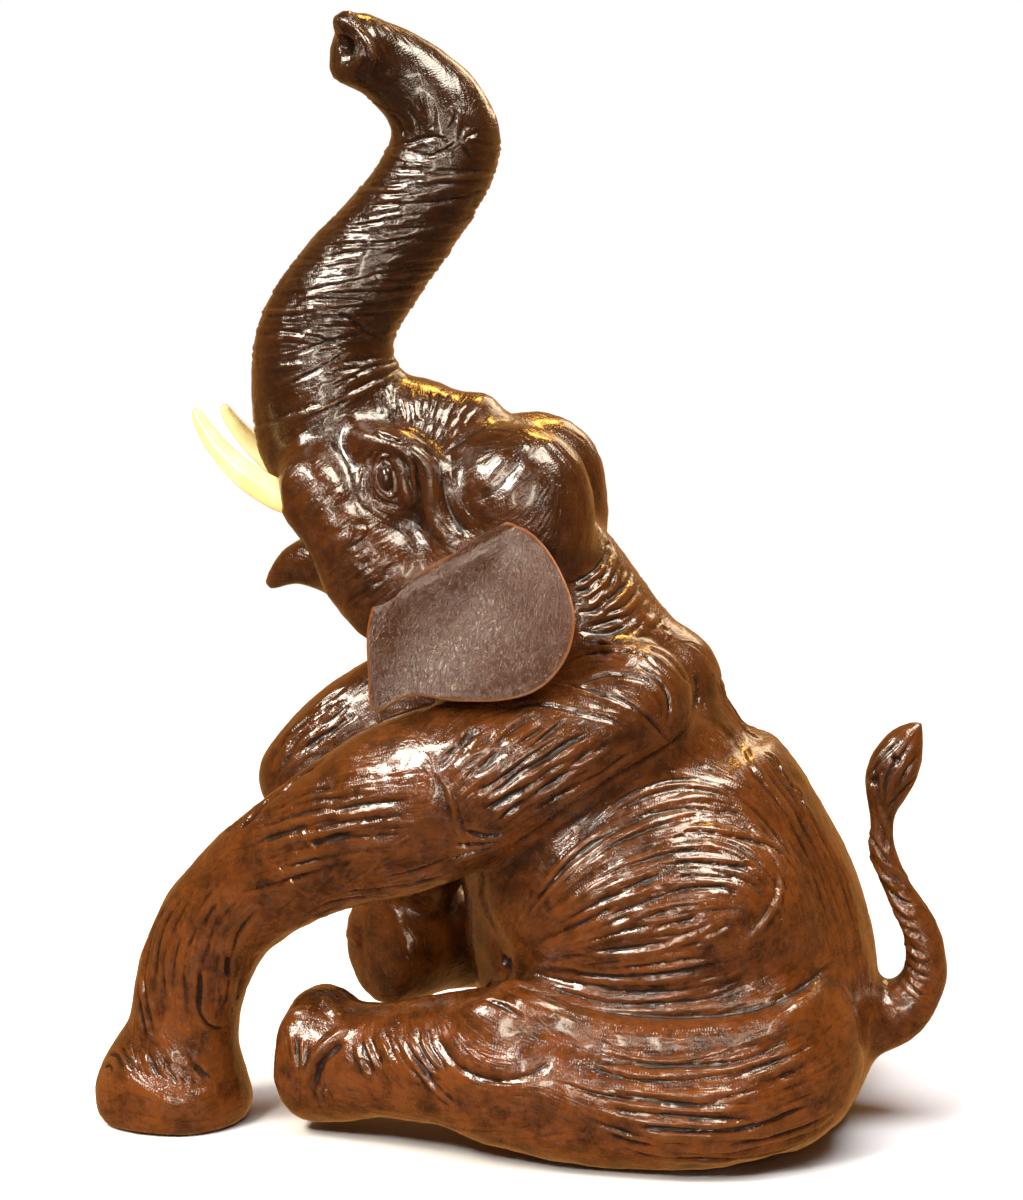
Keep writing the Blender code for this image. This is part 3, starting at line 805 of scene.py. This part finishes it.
# Shallow folds a finger wide, under the wrinkles.
BROAD_FOLDS_OF_A_SIDE = (
    (family, FLANK, 15, 3.4, 1.0, (0.4, 0.9)),
    (family, THIGH, 7, 3.6, 1.3, (0.6, 1.0)),
    (family, CHEEK, 6, 3.0, 0.5, (0.5, 1.0)),
    (family, NECK, 6, 3.4, 1.4, (0.7, 1.0)),
    (family, BACK, 6, 3.4, 0.8, (0.3, 0.8)),
)
BROAD_FOLDS_OF_THE_FORELEGS = (
    (family, SHOULDER_DIAGONALS, 8, 3.4, 1.5, (0.6, 1.0)),
    (family, UPPER_FORELEG, 9, 3.4, 0.8, (0.4, 0.9)),
    (family, LOWER_FORELEG, 9, 3.4, 0.7, (0.4, 0.9)),
    (family, FAR_FORELEG, 6, 3.2, 1.2, (0.6, 1.0)),
)

WRINKLES_OF_A_SIDE = (
    (draw, LID, 0.85, 1.5, roll, 0.08),
    (draw, LID_GROOVE, 0.9, -1.0, roll, 0.1),
    (draw, INNER_LID, 0.85, 2.0, roll, 0.08),
    (draw_all, LID_FOLDS, 0.9, -1.6, roll, 0.15),
    (draw_all, EYE_ARCS, 0.9, 0.7),
    (draw, TEMPLE_CREASE, 1.2, 1.2),
    (draw, BROW_CREASE, 1.2, 1.4),
    (family, CHEEK, 34, 1.05, 0.42, (0.4, 0.9)),
    (family, FOREHEAD, 22, 1.5, 0.75, (0.5, 1.0)),
    (draw_all, DOME_LINES, 1.3, 0.5),
    (family, NECK, 9, 2.2, 1.5, (0.6, 1.0)),
    (family, NECK, 9, 1.3, 0.6, (0.4, 0.8)),
    (family, FLANK, 28, 1.7, 0.8, (0.6, 1.0)),
    (family, FLANK, 26, 1.0, 0.35, (0.3, 0.7)),
    (family, FLANK, 14, 1.4, 0.6, (0.2, 0.5), ridge),
    (draw_all, FLANK_DEEP, 1.7, 1.5, fold),
    (draw_all, FLANK_RIDGES, 1.9, 1.2, ridge),
    (family, BACK, 16, 1.4, 0.6, (0.2, 0.6)),
    (draw_all, BACK_SHORT, 1.4, 0.9),
    (family, THIGH, 13, 2.2, 1.1, (0.6, 1.0)),
    (family, THIGH, 26, 1.0, 0.35, (0.25, 0.6)),
    (draw_all, THIGH_DEEP, 1.7, 1.1, fold),
    (draw, SHOULDER_CREASE, 1.6, 1.0),
    (draw_all, TAIL_TWIST, 1.7, 1.5, ridge),
    (draw_all, TAIL_SLITS, 1.3, 1.3),
    (draw_all, TUFT_VEINS, 1.4, 1.2),
    (draw_all, TUFT_PITS, 1.7, -4.0, roll),
    (draw_all, SHOULDER_TOP, 1.8, 1.1),
)
WRINKLES_OF_THE_LIMBS = (
    (draw, THIGH_CREASE, 1.6, 1.8, groove, 0.12),
    (draw, ARM_EDGE, 1.6, 1.4, groove, 0.12),
    (family, SHOULDER_DIAGONALS, 12, 2.3, 1.5, (0.5, 1.0)),
    (family, SHOULDER_DIAGONALS, 18, 1.1, 0.5, (0.3, 0.7)),
    (draw_all, SHOULDER_DIAGONALS[1:4], 1.8, 1.2, ridge),
    (draw, ELBOW_VEIN, 1.5, 1.1, ridge),
    (draw_all, ELBOW_SLITS, 1.7, 1.8),
    (family, UPPER_FORELEG, 14, 2.0, 0.8, (0.4, 0.9)),
    (family, UPPER_FORELEG, 30, 1.0, 0.35, (0.2, 0.6)),
    (draw_all, ARM_UNDER, 1.6, 0.9),
    (draw_all, FORELEG_VEINS, 1.1, 0.6, ridge),
    (family, LOWER_FORELEG, 14, 2.0, 0.8, (0.4, 0.9)),
    (family, LOWER_FORELEG, 30, 1.0, 0.35, (0.2, 0.6)),
    (draw_all, FORELEG_DEEP, 1.6, 1.5),
    (draw_all, FORELEG_FRONT, 1.8, 1.2, ridge),
    (family, ANKLE, 11, 1.8, 1.1, (0.6, 1.0)),
    (draw_all, TOE_CREASES, 1.5, 1.5),
    (family, FAR_FORELEG, 12, 1.9, 1.3, (0.5, 1.0)),
    (draw, KNEECAP, 1.5, 1.4),
    (draw_all, KNEE_PLEATS, 1.8, 1.2),
    (draw_all, SHIN, 1.9, 1.6, ridge),
    (family, SHIN, 9, 1.5, 0.8, (0.6, 1.0)),
    (draw, HEEL_PLEAT, 1.5, 1.4, ridge),
    (draw_all, HEEL_SHORT, 1.6, 1.4, ridge),
    (draw_all, HIND_TOES, 1.3, 0.8),
    (family, LOWER_SHANK, 12, 1.3, 0.4, (0.3, 0.7)),
)


def work_through(skin, sides, steps):
    for step, lines, *how in steps:
        for side in sides:
            step(skin, side, lines, *how)


def large_forms(skin):
    work_through(skin, [LEFT], TIP_FORMS)
    work_through(skin, BOTH, FACE_FORMS)
    work_through(skin, [LEFT], LIMB_FORMS)


def broad_folds(skin):
    for side in BOTH:
        work_through(skin, [side], BROAD_FOLDS_OF_A_SIDE)
    work_through(skin, [LEFT], BROAD_FOLDS_OF_THE_FORELEGS)


def main_wrinkles(skin):
    trunk_rings(skin, TRUNK_RING_STEP, 1.3, 0.6, (2.2, 5.5))
    trunk_rings(skin, FINE_RING_STEP, 1.0, 0.32, (1.0, 3.0))
    for side in BOTH:
        draw_all(skin, side, TRUNK_CROSSINGS, 1.3, 0.9)
    draw(skin, LEFT, NOSTRIL_BEAD, 0.8, 0.9, roll, 0.01)
    for side in BOTH:
        work_through(skin, [side], WRINKLES_OF_A_SIDE)
    work_through(skin, [LEFT], WRINKLES_OF_THE_LIMBS)


def trunk_rings(skin, step, width, height, turns):
    rows = catmull_rom(TRUNK_RINGS, 8)
    run = np.cumsum([0, *np.linalg.norm(np.diff(rows[:, :2], axis=0), axis=1)])
    for mark in np.arange(0, run[-1], step):
        x, z, slope = (np.interp(mark, run, rows[:, k]) for k in range(3))
        start = rng.uniform(0, 2 * pi)
        kind = (groove, fold, fold_back)[int(rng.integers(0, 3))]
        ring(skin, (x, 0, z), slope + rng.uniform(-7, 7), width * rng.uniform(0.75, 1.25),
             height * rng.uniform(0.5, 1.3), kind, (start, start + rng.uniform(*turns)))


# ---- the body
def make_body():
    form = bare_form()
    smooth_form = form.data.copy()
    modify(form, "SUBSURF", levels=1, render_levels=1)
    skin = Skin(form, smooth_form)
    large_forms(skin)
    skin.press()
    broad_folds(skin)
    skin.press(BROAD_LIMIT)
    main_wrinkles(skin)
    skin.press(WRINKLE_LIMIT)
    fine_wrinkles(skin, FINE_WRINKLES)
    pressed_by_hand(skin)
    skin.press(FINE_LIMIT)
    places, relief = coordinates(form.data), relief_of(form.data)
    modify(form, "TRIANGULATE")
    modify(form, "DECIMATE", ratio=SKIN_TRIANGLES / len(form.data.polygons))
    form.name = "body_skin"
    form.data.name = "body_skin"
    form.data.shade_smooth()
    mark_relief(form.data, places, relief)
    mark_flow(form.data, skin)
    return form


def headings_of(skin):
    """Places along all strokes, and which way the strokes run there."""
    places, headings = [], []
    for stroke in skin.trace:
        tangent = np.gradient(stroke.path, axis=0)
        tangent /= np.linalg.norm(tangent, axis=1, keepdims=True) + 1e-12
        places.append(stroke.path[::3])
        headings.append(tangent[::3])
    places, headings = np.vstack(places), np.vstack(headings)
    finder = KDTree(len(places))
    for k, place in enumerate(places):
        finder.insert(place, k)
    finder.balance()
    return finder, headings


def mark_flow(mesh, skin):
    """Keep, for each vertex, which way the wrinkles run."""
    finder, headings = headings_of(skin)
    co, no = coordinates(mesh), normals_of(mesh)
    tensor = np.zeros((len(co), 3, 3))
    for k, place in enumerate(co):
        for _, index, distance in finder.find_n(place, 4):
            heading = headings[index]
            tensor[k] += np.outer(heading, heading) / (distance + 0.003) ** 2
    flow = np.linalg.eigh(tensor)[1][:, :, 2]
    flow -= no * (flow * no).sum(1, keepdims=True)
    flow /= np.linalg.norm(flow, axis=1, keepdims=True) + 1e-9
    flow[flow @ np.array(FLOW_SENSE) < 0] *= -1
    flow = flow.astype(np.float32)
    mesh.attributes.new("flow", "FLOAT_VECTOR", "POINT").data.foreach_set("vector", flow.ravel())


def relief_of(mesh):
    """How much each vertex stands out from, or lies below, the skin round it, in millimetres."""
    co, no = coordinates(mesh), normals_of(mesh)
    edges = np.empty(len(mesh.edges) * 2, dtype=np.int32)
    mesh.edges.foreach_get("vertices", edges)
    a, b = edges.reshape(-1, 2).T
    count = np.bincount(a, minlength=len(co)) + np.bincount(b, minlength=len(co))

    def average(values):
        total = np.zeros_like(values)
        np.add.at(total, a, values[b])
        np.add.at(total, b, values[a])
        return total / count.reshape(-1, *([1] * (values.ndim - 1)))

    soft = co
    for _ in range(RELIEF_ROUNDS):
        soft = average(soft)
    relief = ((co - soft) * no).sum(1) / MM
    return 0.5 * relief + 0.5 * average(relief)


def mark_relief(mesh, places, relief):
    """Keep, for each vertex, the relief at the nearest of the places."""
    finder = KDTree(len(places))
    for k, place in enumerate(places):
        finder.insert(place, k)
    finder.balance()
    nearest = [finder.find(place)[1] for place in coordinates(mesh)]
    mesh.attributes.new("relief", "FLOAT", "POINT").data.foreach_set(
        "value", relief[nearest].astype(np.float32))


# ---- ears, tusks and eyes
def make_ear(name, side):
    outline = catmull_rom(EAR_OUTLINE, 10, closed=True)
    centre = outline.mean(axis=0)

    def on_ear(point):
        down = np.dot(point - EAR_HINGE, EAR_HINGE_DOWN)
        along = np.dot(point - EAR_HINGE, EAR_HINGE_ALONG)
        out = EAR_SET_IN - EAR_CONVERGE * along + EAR_FLARE * down - EAR_FLATTENING * down ** 2
        fan = (along - EAR_FAN_START[0]) / (down - EAR_FAN_START[1])
        out += EAR_WAVE * sin(EAR_FAN * fan) * min(1, down / EAR_WAVE_START)
        x, y = along - EAR_CREST[0], down - EAR_CREST[1]
        across = x * EAR_CREST_TURN[0] + y * EAR_CREST_TURN[1]
        onward = y * EAR_CREST_TURN[0] - x * EAR_CREST_TURN[1]
        soft = EAR_CREST_SOFTNESS[0] + EAR_CREST_SOFTNESS[1] * max(onward, 0)
        out -= EAR_CREST_SLOPE * (sqrt(across ** 2 + soft ** 2) - soft)
        height, middle, width = EAR_LIP
        out += height * exp(-((down - middle) / width) ** 2)
        return at(point[0], side * out, point[1])

    bm = bmesh.new()
    middle = bm.verts.new(on_ear(centre))
    loops = [[bm.verts.new(on_ear(centre + (p - centre) * k / EAR_RINGS)) for p in outline]
             for k in range(1, EAR_RINGS + 1)]
    count = len(outline)
    for k in range(count):
        m = (k + 1) % count
        bm.faces.new((middle, loops[0][k], loops[0][m]))
        for inner, wider in zip(loops, loops[1:]):
            bm.faces.new((inner[k], wider[k], wider[m], inner[m]))
    ear = object_of(name, bm)
    modify(ear, "SOLIDIFY", thickness=EAR_THICKNESS * MM, offset=0.0)
    modify(ear, "BEVEL", width=EAR_EDGE * MM, segments=2, limit_method="ANGLE", angle_limit=radians(50))
    ear.data.shade_smooth()
    mark_rim(ear.data, outline)
    return ear


def mark_rim(mesh, outline):
    """Keep, for each vertex, how near it is to the cut edge."""
    edge = np.array([at(x, 0, z) for x, z in evenly(outline, 0.5)])[:, ::2]
    places = coordinates(mesh)[:, ::2]
    distance = [np.linalg.norm(edge - place, axis=1).min() / MM for place in places]
    rim = mesh.attributes.new("rim", "FLOAT", "POINT")
    rim.data.foreach_set("value", np.clip(1 - np.array(distance) / EAR_RIM, 0, 1))


def make_tusk(name, side):
    back = RIGHT_TUSK_BACK if side == RIGHT else 0.0
    drops = np.linspace(*RIGHT_TUSK_DROP, len(TUSK)) if side == RIGHT else np.zeros(len(TUSK))
    rows = [(x + back, -side * y, z - drop, r) for (x, y, z, r), drop in zip(TUSK, drops)]
    rows = catmull_rom(rows, 8)
    end = rows[-1]
    direction = end[:3] - rows[-3][:3]
    direction /= np.linalg.norm(direction)
    caps = [[*(end[:3] + direction * end[3] * sin(a)), end[3] * cos(a)]
            for a in np.linspace(0.3, 1.45, 5)]
    rows = np.vstack([rows, caps])
    tangents = np.gradient(rows[:, :3], axis=0)
    bm = bmesh.new()
    loops = []
    for (x, y, z, radius), tangent in zip(rows, tangents):
        along = Vector(tangent).normalized()
        sideways = (Vector((0, 1, 0)) - along * along.y).normalized()
        upwards = along.cross(sideways)
        loops.append([bm.verts.new(at(x, y, z) + (upwards * cos(a) + sideways * sin(a)) * radius * MM)
                      for a in np.arange(TUSK_SIDES) * 2 * pi / TUSK_SIDES])
    for loop, following in zip(loops, loops[1:]):
        for k in range(TUSK_SIDES):
            m = (k + 1) % TUSK_SIDES
            bm.faces.new((loop[k], loop[m], following[m], following[k]))
    bm.faces.new(loops[0])
    bm.faces.new(loops[-1])
    return object_of(name, bm)


def make_eye(name, side):
    x, y, z = np.add(EYE_CENTRE, EYE_SHOWN)
    bm = bmesh.new()
    bmesh.ops.create_uvsphere(bm, u_segments=48, v_segments=32, radius=1.0)
    bmesh.ops.transform(bm, matrix=placed((x, -side * y, z), EYE_SHOWN_RADII), verts=bm.verts)
    return object_of(name, bm)


# ---- materials
MIX_A, MIX_B, MIX_RESULT = 6, 7, 2     # a Mix node's sockets for colours


def set_inputs(node, values):
    for name, value in values.items():
        node.inputs[name].default_value = value


class Finish:
    """A material with a few short ways to wire its nodes."""

    def __init__(self, name):
        self.material = bpy.data.materials.new(name)
        self.material.use_nodes = True
        self.tree = self.material.node_tree
        self.shader = self.tree.nodes["Principled BSDF"]

    def node(self, kind, **settings):
        made = self.tree.nodes.new("ShaderNode" + kind)
        for key, value in settings.items():
            setattr(made, key, value)
        return made

    def link(self, source, target):
        self.tree.links.new(source, target)

    def feed(self, value, socket):
        if isinstance(value, bpy.types.NodeSocket):
            self.link(value, socket)
        else:
            socket.default_value = value

    def mark(self, name, output="Fac"):
        """What the mesh keeps for each vertex under this name."""
        return self.node("Attribute", attribute_name=name).outputs[output]

    def place(self):
        return self.node("TexCoord").outputs["Object"]

    def stretched(self, stretch):
        mapping = self.node("Mapping")
        mapping.inputs["Scale"].default_value = stretch
        self.link(self.place(), mapping.inputs["Vector"])
        return mapping.outputs["Vector"]

    def height(self):
        split = self.node("SeparateXYZ")
        self.link(self.place(), split.inputs["Vector"])
        return split.outputs["Z"]

    def noise(self, scale, detail=4.0, roughness=0.55, where=None, distortion=0.0):
        made = self.node("TexNoise")
        set_inputs(made, {"Scale": scale, "Detail": detail, "Roughness": roughness,
                          "Distortion": distortion})
        self.link(where or self.place(), made.inputs["Vector"])
        return made.outputs["Fac"]

    def streaks(self, scale, reach, count):
        """Noise drawn out along the wrinkles, by averaging it over places along the flow."""
        flow = self.mark("flow", "Vector")
        total = None
        for offset in np.linspace(-reach, reach, count):
            shift = self.node("VectorMath", operation="SCALE")
            self.link(flow, shift.inputs[0])
            shift.inputs["Scale"].default_value = offset * MM
            moved = self.node("VectorMath", operation="ADD")
            self.link(self.place(), moved.inputs[0])
            self.link(shift.outputs["Vector"], moved.inputs[1])
            value = self.noise(scale, 1.0, 0.5, moved.outputs["Vector"])
            total = value if total is None else self.math("ADD", total, value)
        return self.math("DIVIDE", total, float(count))

    def spread(self, value, low, high, out_low=0.0, out_high=1.0):
        made = self.node("MapRange")
        self.feed(value, made.inputs["Value"])
        set_inputs(made, {"From Min": low, "From Max": high, "To Min": out_low, "To Max": out_high})
        return made.outputs["Result"]

    def mix(self, factor, a, b):
        made = self.node("Mix", data_type="RGBA")
        self.feed(factor, made.inputs["Factor"])
        self.feed(a, made.inputs[MIX_A])
        self.feed(b, made.inputs[MIX_B])
        return made.outputs[MIX_RESULT]

    def math(self, operation, a, b):
        made = self.node("Math", operation=operation)
        self.feed(a, made.inputs[0])
        self.feed(b, made.inputs[1])
        return made.outputs["Value"]

    def paint(self, colour, layers=()):
        """Lay tints over the colour, each from nothing where its mask is low to its strength."""
        for mask, low, high, strength, tint in layers:
            colour = self.mix(self.spread(mask, low, high, 0.0, strength), colour, tint)
        self.link(colour, self.shader.inputs["Base Color"])

    def roughen(self, value):
        self.link(value, self.shader.inputs["Roughness"])

    def emboss(self, layers):
        """Bumps, one on the other: a height, a strength and a depth in millimetres each."""
        normal = None
        for height, strength, depth in layers:
            made = self.node("Bump")
            set_inputs(made, {"Strength": strength, "Distance": depth * MM})
            self.link(height, made.inputs["Height"])
            if normal is not None:
                self.link(normal, made.inputs["Normal"])
            normal = made.outputs["Normal"]
        self.link(normal, self.shader.inputs["Normal"])


def leather():
    """Dark brown above, orange-brown low down (partly the leather's own tone, partly a painted warm
    reflection of the floor), with painted shade darkening the creases.
    """
    finish = Finish("brown_leather")
    relief = finish.mark("relief")
    patches = finish.spread(finish.noise(14.0, 5.0, 0.6), 0, 1, -0.14, 0.14)
    # lower is 1 low down and 0 high up: the orange-brown it brings low down is partly the leather's own
    # tone, partly a painted warm reflection of the floor
    lower = finish.spread(finish.math("ADD", finish.height(), patches), 0.46, 0.04)
    # the lighter tone of wear on crests and streaks; low down it also carries the painted warm floor
    # reflection
    wear_and_floor_reflection = finish.mix(lower, (0.065, 0.024, 0.007, 1), (0.13, 0.041, 0.007, 1))
    lines = finish.streaks(480.0, 4.5, 7)
    hairs = finish.streaks(800.0, 2.7, 5)
    stains = finish.noise(60.0, 6.0, 0.7)
    finish.paint(finish.mix(lower, (0.0170, 0.0058, 0.0019, 1), (0.122, 0.0325, 0.0050, 1)), (
        (stains, 0.42, 0.64, 0.8, (0.015, 0.0055, 0.002, 1)),
        (lines, 0.5, 0.4, 0.5, (0.012, 0.0045, 0.0018, 1)),
        (lines, 0.52, 0.62, 0.25, wear_and_floor_reflection),
        # painted shade: the creases and hollows are darkened where the relief is low
        (relief, -0.05, -0.5, 0.85, (0.006, 0.0025, 0.0012, 1)),
        (relief, 0.1, 0.6, 0.35, wear_and_floor_reflection),
    ))
    rough = finish.spread(finish.noise(170.0, 4.0, 0.65), 0.35, 0.65, 0.13, 0.3)
    finish.roughen(finish.math("ADD", rough, finish.spread(relief, -0.3, -1.2, 0.0, 0.4)))
    set_inputs(finish.shader, {"Specular IOR Level": 0.5, "Coat Weight": 0.4, "Coat Roughness": 0.1})
    finish.emboss(((finish.noise(260.0, 2.0, 0.5), 0.45, 0.6), (lines, 0.75, 1.4), (hairs, 0.7, 0.7)))
    return finish.material


def ear_leather():
    """Redder, brushed hide, lighter along its cut edge, partly its own colour and partly a painted warm rim
    highlight.
    """
    finish = Finish("ear_leather")
    fibres = finish.noise(420.0, 5.0, 0.6, finish.stretched((1.0, 1.0, 0.35)), 2.5)
    patches = finish.spread(finish.noise(16.0, 4.0), 0.35, 0.65)
    finish.paint(finish.mix(patches, (0.034, 0.0108, 0.0042, 1), (0.054, 0.0168, 0.0062, 1)), (
        # light fibres: partly the hide's own fibre colour, partly painted glints on the fibres
        (fibres, 0.48, 0.62, 0.4, (0.11, 0.052, 0.023, 1)),
        (fibres, 0.46, 0.36, 0.4, (0.016, 0.006, 0.003, 1)),
        (finish.noise(120.0, 6.0, 0.65), 0.5, 0.65, 0.5, (0.03, 0.011, 0.005, 1)),
        # the cut edge lighter: partly the cut leather's own colour, partly a painted warm rim highlight
        (finish.mark("rim"), 0.1, 0.8, 0.85, (0.22, 0.075, 0.018, 1)),
    ))
    finish.roughen(finish.spread(fibres, 0.3, 0.7, 0.17, 0.29))
    set_inputs(finish.shader, {"Specular IOR Level": 0.45})
    finish.emboss(((finish.noise(110.0, 2.0, 0.5), 0.5, 0.7), (fibres, 0.4, 0.7)))
    return finish.material


def ivory():
    finish = Finish("tusk_ivory")
    tint = finish.noise(30.0, 3.0)
    finish.paint(finish.mix(finish.spread(tint, 0.35, 0.7), (0.66, 0.52, 0.2, 1), (0.78, 0.69, 0.38, 1)))
    finish.roughen(finish.spread(tint, 0.3, 0.7, 0.22, 0.34))
    set_inputs(finish.shader, {"Subsurface Weight": 0.1, "Subsurface Radius": (0.004, 0.003, 0.0015)})
    return finish.material


def eye_gloss():
    finish = Finish("eye_glass")
    tint = finish.noise(220.0, 3.0)
    finish.paint(finish.mix(tint, (0.014, 0.005, 0.002, 1), (0.03, 0.010, 0.004, 1)))
    finish.roughen(finish.spread(tint, 0, 1, 0.14, 0.24))
    set_inputs(finish.shader, {"Coat Weight": 0.15})
    return finish.material


def floor_white():
    finish = Finish("studio_white")
    finish.paint(finish.mix(finish.noise(0.6, 2.0), (0.88, 0.88, 0.88, 1), (0.9, 0.9, 0.9, 1)))
    set_inputs(finish.shader, {"Roughness": 0.9, "Specular IOR Level": 0.1})
    return finish.material


def backdrop_white():
    finish = Finish("backdrop_white")
    set_inputs(finish.shader, {"Base Color": (0, 0, 0, 1), "Specular IOR Level": 0.0,
                               "Emission Color": (1, 1, 1, 1), "Emission Strength": 1.0})
    return finish.material


# ---- the studio
def make_floor():
    """A pale round floor, hidden from reflections so that the leather stays dark below."""
    bm = bmesh.new()
    bmesh.ops.create_circle(bm, cap_ends=True, segments=96, radius=FLOOR_RADIUS)
    floor = object_of("studio_floor", bm)
    floor.data.materials.append(floor_white())
    floor.visible_glossy = False
    floor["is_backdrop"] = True
    return floor


def make_backdrop():
    """A white ball round the scene that only the camera sees, so that every view has a white ground."""
    bm = bmesh.new()
    bmesh.ops.create_icosphere(bm, subdivisions=4, radius=BACKDROP_RADIUS)
    backdrop = object_of("studio_backdrop", bm)
    backdrop.data.shade_smooth()
    backdrop.data.materials.append(backdrop_white())
    for ray in ("diffuse", "glossy", "transmission", "volume_scatter", "shadow"):
        setattr(backdrop, "visible_" + ray, False)
    backdrop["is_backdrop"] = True


def group(name, members):
    made = bpy.data.collections.new(name)
    for member in members:
        made.objects.link(member)
    return made


def soft_light(name, place, aim, size, power, colour, receivers):
    data = bpy.data.lights.new(name, "AREA")
    data.shape = "RECTANGLE"
    data.size, data.size_y = size
    hang(data, place, aim, power, colour, receivers)


def spot_light(name, place, aim, radius, cone, power, colour, receivers):
    data = bpy.data.lights.new(name, "SPOT")
    data.shadow_soft_size = radius
    data.spot_size = radians(cone)
    data.spot_blend = 0.7
    hang(data, place, aim, power, colour, receivers)


def hang(data, place, aim, power, colour, receivers):
    data.energy = power
    data.color = colour
    made = new_object(data.name, data)
    made.location = place
    made.rotation_euler = (Vector(aim) - Vector(place)).to_track_quat("-Z", "Y").to_euler()
    made.light_linking.receiver_collection = receivers


def make_lights(floor):
    """Soft lights, some of which reach only the ears, the floor or what is left without the ears."""
    ear_pieces = [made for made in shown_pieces() if made.name.startswith("ear_")]
    others = [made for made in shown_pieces() if made not in ear_pieces]
    sculpture = group("sculpture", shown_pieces())
    ears = group("ears", ear_pieces)
    all_but_ears = group("all_but_ears", [*others, floor])
    studio = group("studio", [floor])
    middle = (0, 0, 0.3)
    soft_light("key", (-0.8, -1.35, 1.35), middle, (0.3, 0.3), 22, (1.0, 0.93, 0.83), all_but_ears)
    soft_light("overhead_right", (0.78, -0.45, 1.74), middle, (0.9, 0.7), 50, WARM_WHITE, sculpture)
    soft_light("overhead_left", (-1.0, -0.8, 1.42), (0, 0, 0.35), (0.45, 0.4), 30, WARM_WHITE,
               all_but_ears)
    soft_light("ear_glow", (-0.86, -1.02, 1.275), (-0.02, -0.085, 0.29), (0.14, 0.14), 14,
               (1.0, 0.83, 0.67), ears)
    soft_light("behind", (0.7, 1.7, 1.3), middle, (0.8, 0.8), 11, (1.0, 0.76, 0.48), sculpture)
    soft_light("front_left", (-0.13, -1.85, 0.6), middle, (0.13, 0.8), 11, WARM_WHITE, sculpture)
    soft_light("front_right", (0.58, -1.75, 0.6), middle, (0.1, 0.8), 8, WARM_WHITE, sculpture)
    spot_light("amber", (0.15, 0.95, 1.65), (-0.06, 0, 0.47), 0.35, 15.5, 180, (1.0, 0.5, 0.1), sculpture)
    soft_light("floor_wash", (0, -0.6, 3.2), (0, 1.2, 0.2), (3.0, 2.0), 190, (0.97, 0.98, 1.0), studio)


def make_world():
    """A dim warm room, brighter behind the sculpture, that gives its edges their glow."""
    world = bpy.data.worlds.new("studio")
    world.use_nodes = True
    nodes, links = world.node_tree.nodes, world.node_tree.links
    background = nodes["Background"]
    set_inputs(background, {"Color": (1.0, 0.43, 0.12, 1)})
    where, split, spread = (nodes.new("ShaderNode" + kind)
                            for kind in ("TexCoord", "SeparateXYZ", "MapRange"))
    set_inputs(spread, {"From Min": -0.2, "From Max": 1.0, "To Min": 0.04, "To Max": 0.65})
    links.new(where.outputs["Generated"], split.inputs["Vector"])
    links.new(split.outputs["Y"], spread.inputs["Value"])
    links.new(spread.outputs["Result"], background.inputs["Strength"])
    bpy.context.scene.world = world


def make_camera():
    data = bpy.data.cameras.new("camera")
    data.sensor_width = 36.0
    data.lens = CAMERA_LENS
    made = new_object("camera", data)
    turn, lift = radians(CAMERA_AZIMUTH), radians(CAMERA_ELEVATION)
    back = Vector((sin(turn) * cos(lift), -cos(turn) * cos(lift), sin(lift)))
    made.location = at(*CAMERA_AIM) + back * CAMERA_DISTANCE
    made.rotation_euler = (-back).to_track_quat("-Z", "Y").to_euler()
    bpy.context.scene.camera = made


def dress(made, finish, nodes):
    made.data.materials.clear()
    made.data.materials.append(finish)
    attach(made, "root")
    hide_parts(*nodes)


def build():
    dress(make_body(), leather(), ["body"])
    ear_finish, ivory_finish, eye_finish = ear_leather(), ivory(), eye_gloss()
    for label, side in (("left", LEFT), ("right", RIGHT)):
        dress(make_ear("ear_skin_" + label, side), ear_finish, ["ear_" + label])
        dress(make_tusk("tusk_shape_" + label, side), ivory_finish, ["tusk_" + label])
        dress(make_eye("eye_ball_" + label, side), eye_finish, ["eye_" + label])
    make_lights(make_floor())
    make_world()
    make_backdrop()
    make_camera()
    bpy.context.scene.view_settings.view_transform = "Standard"


build()
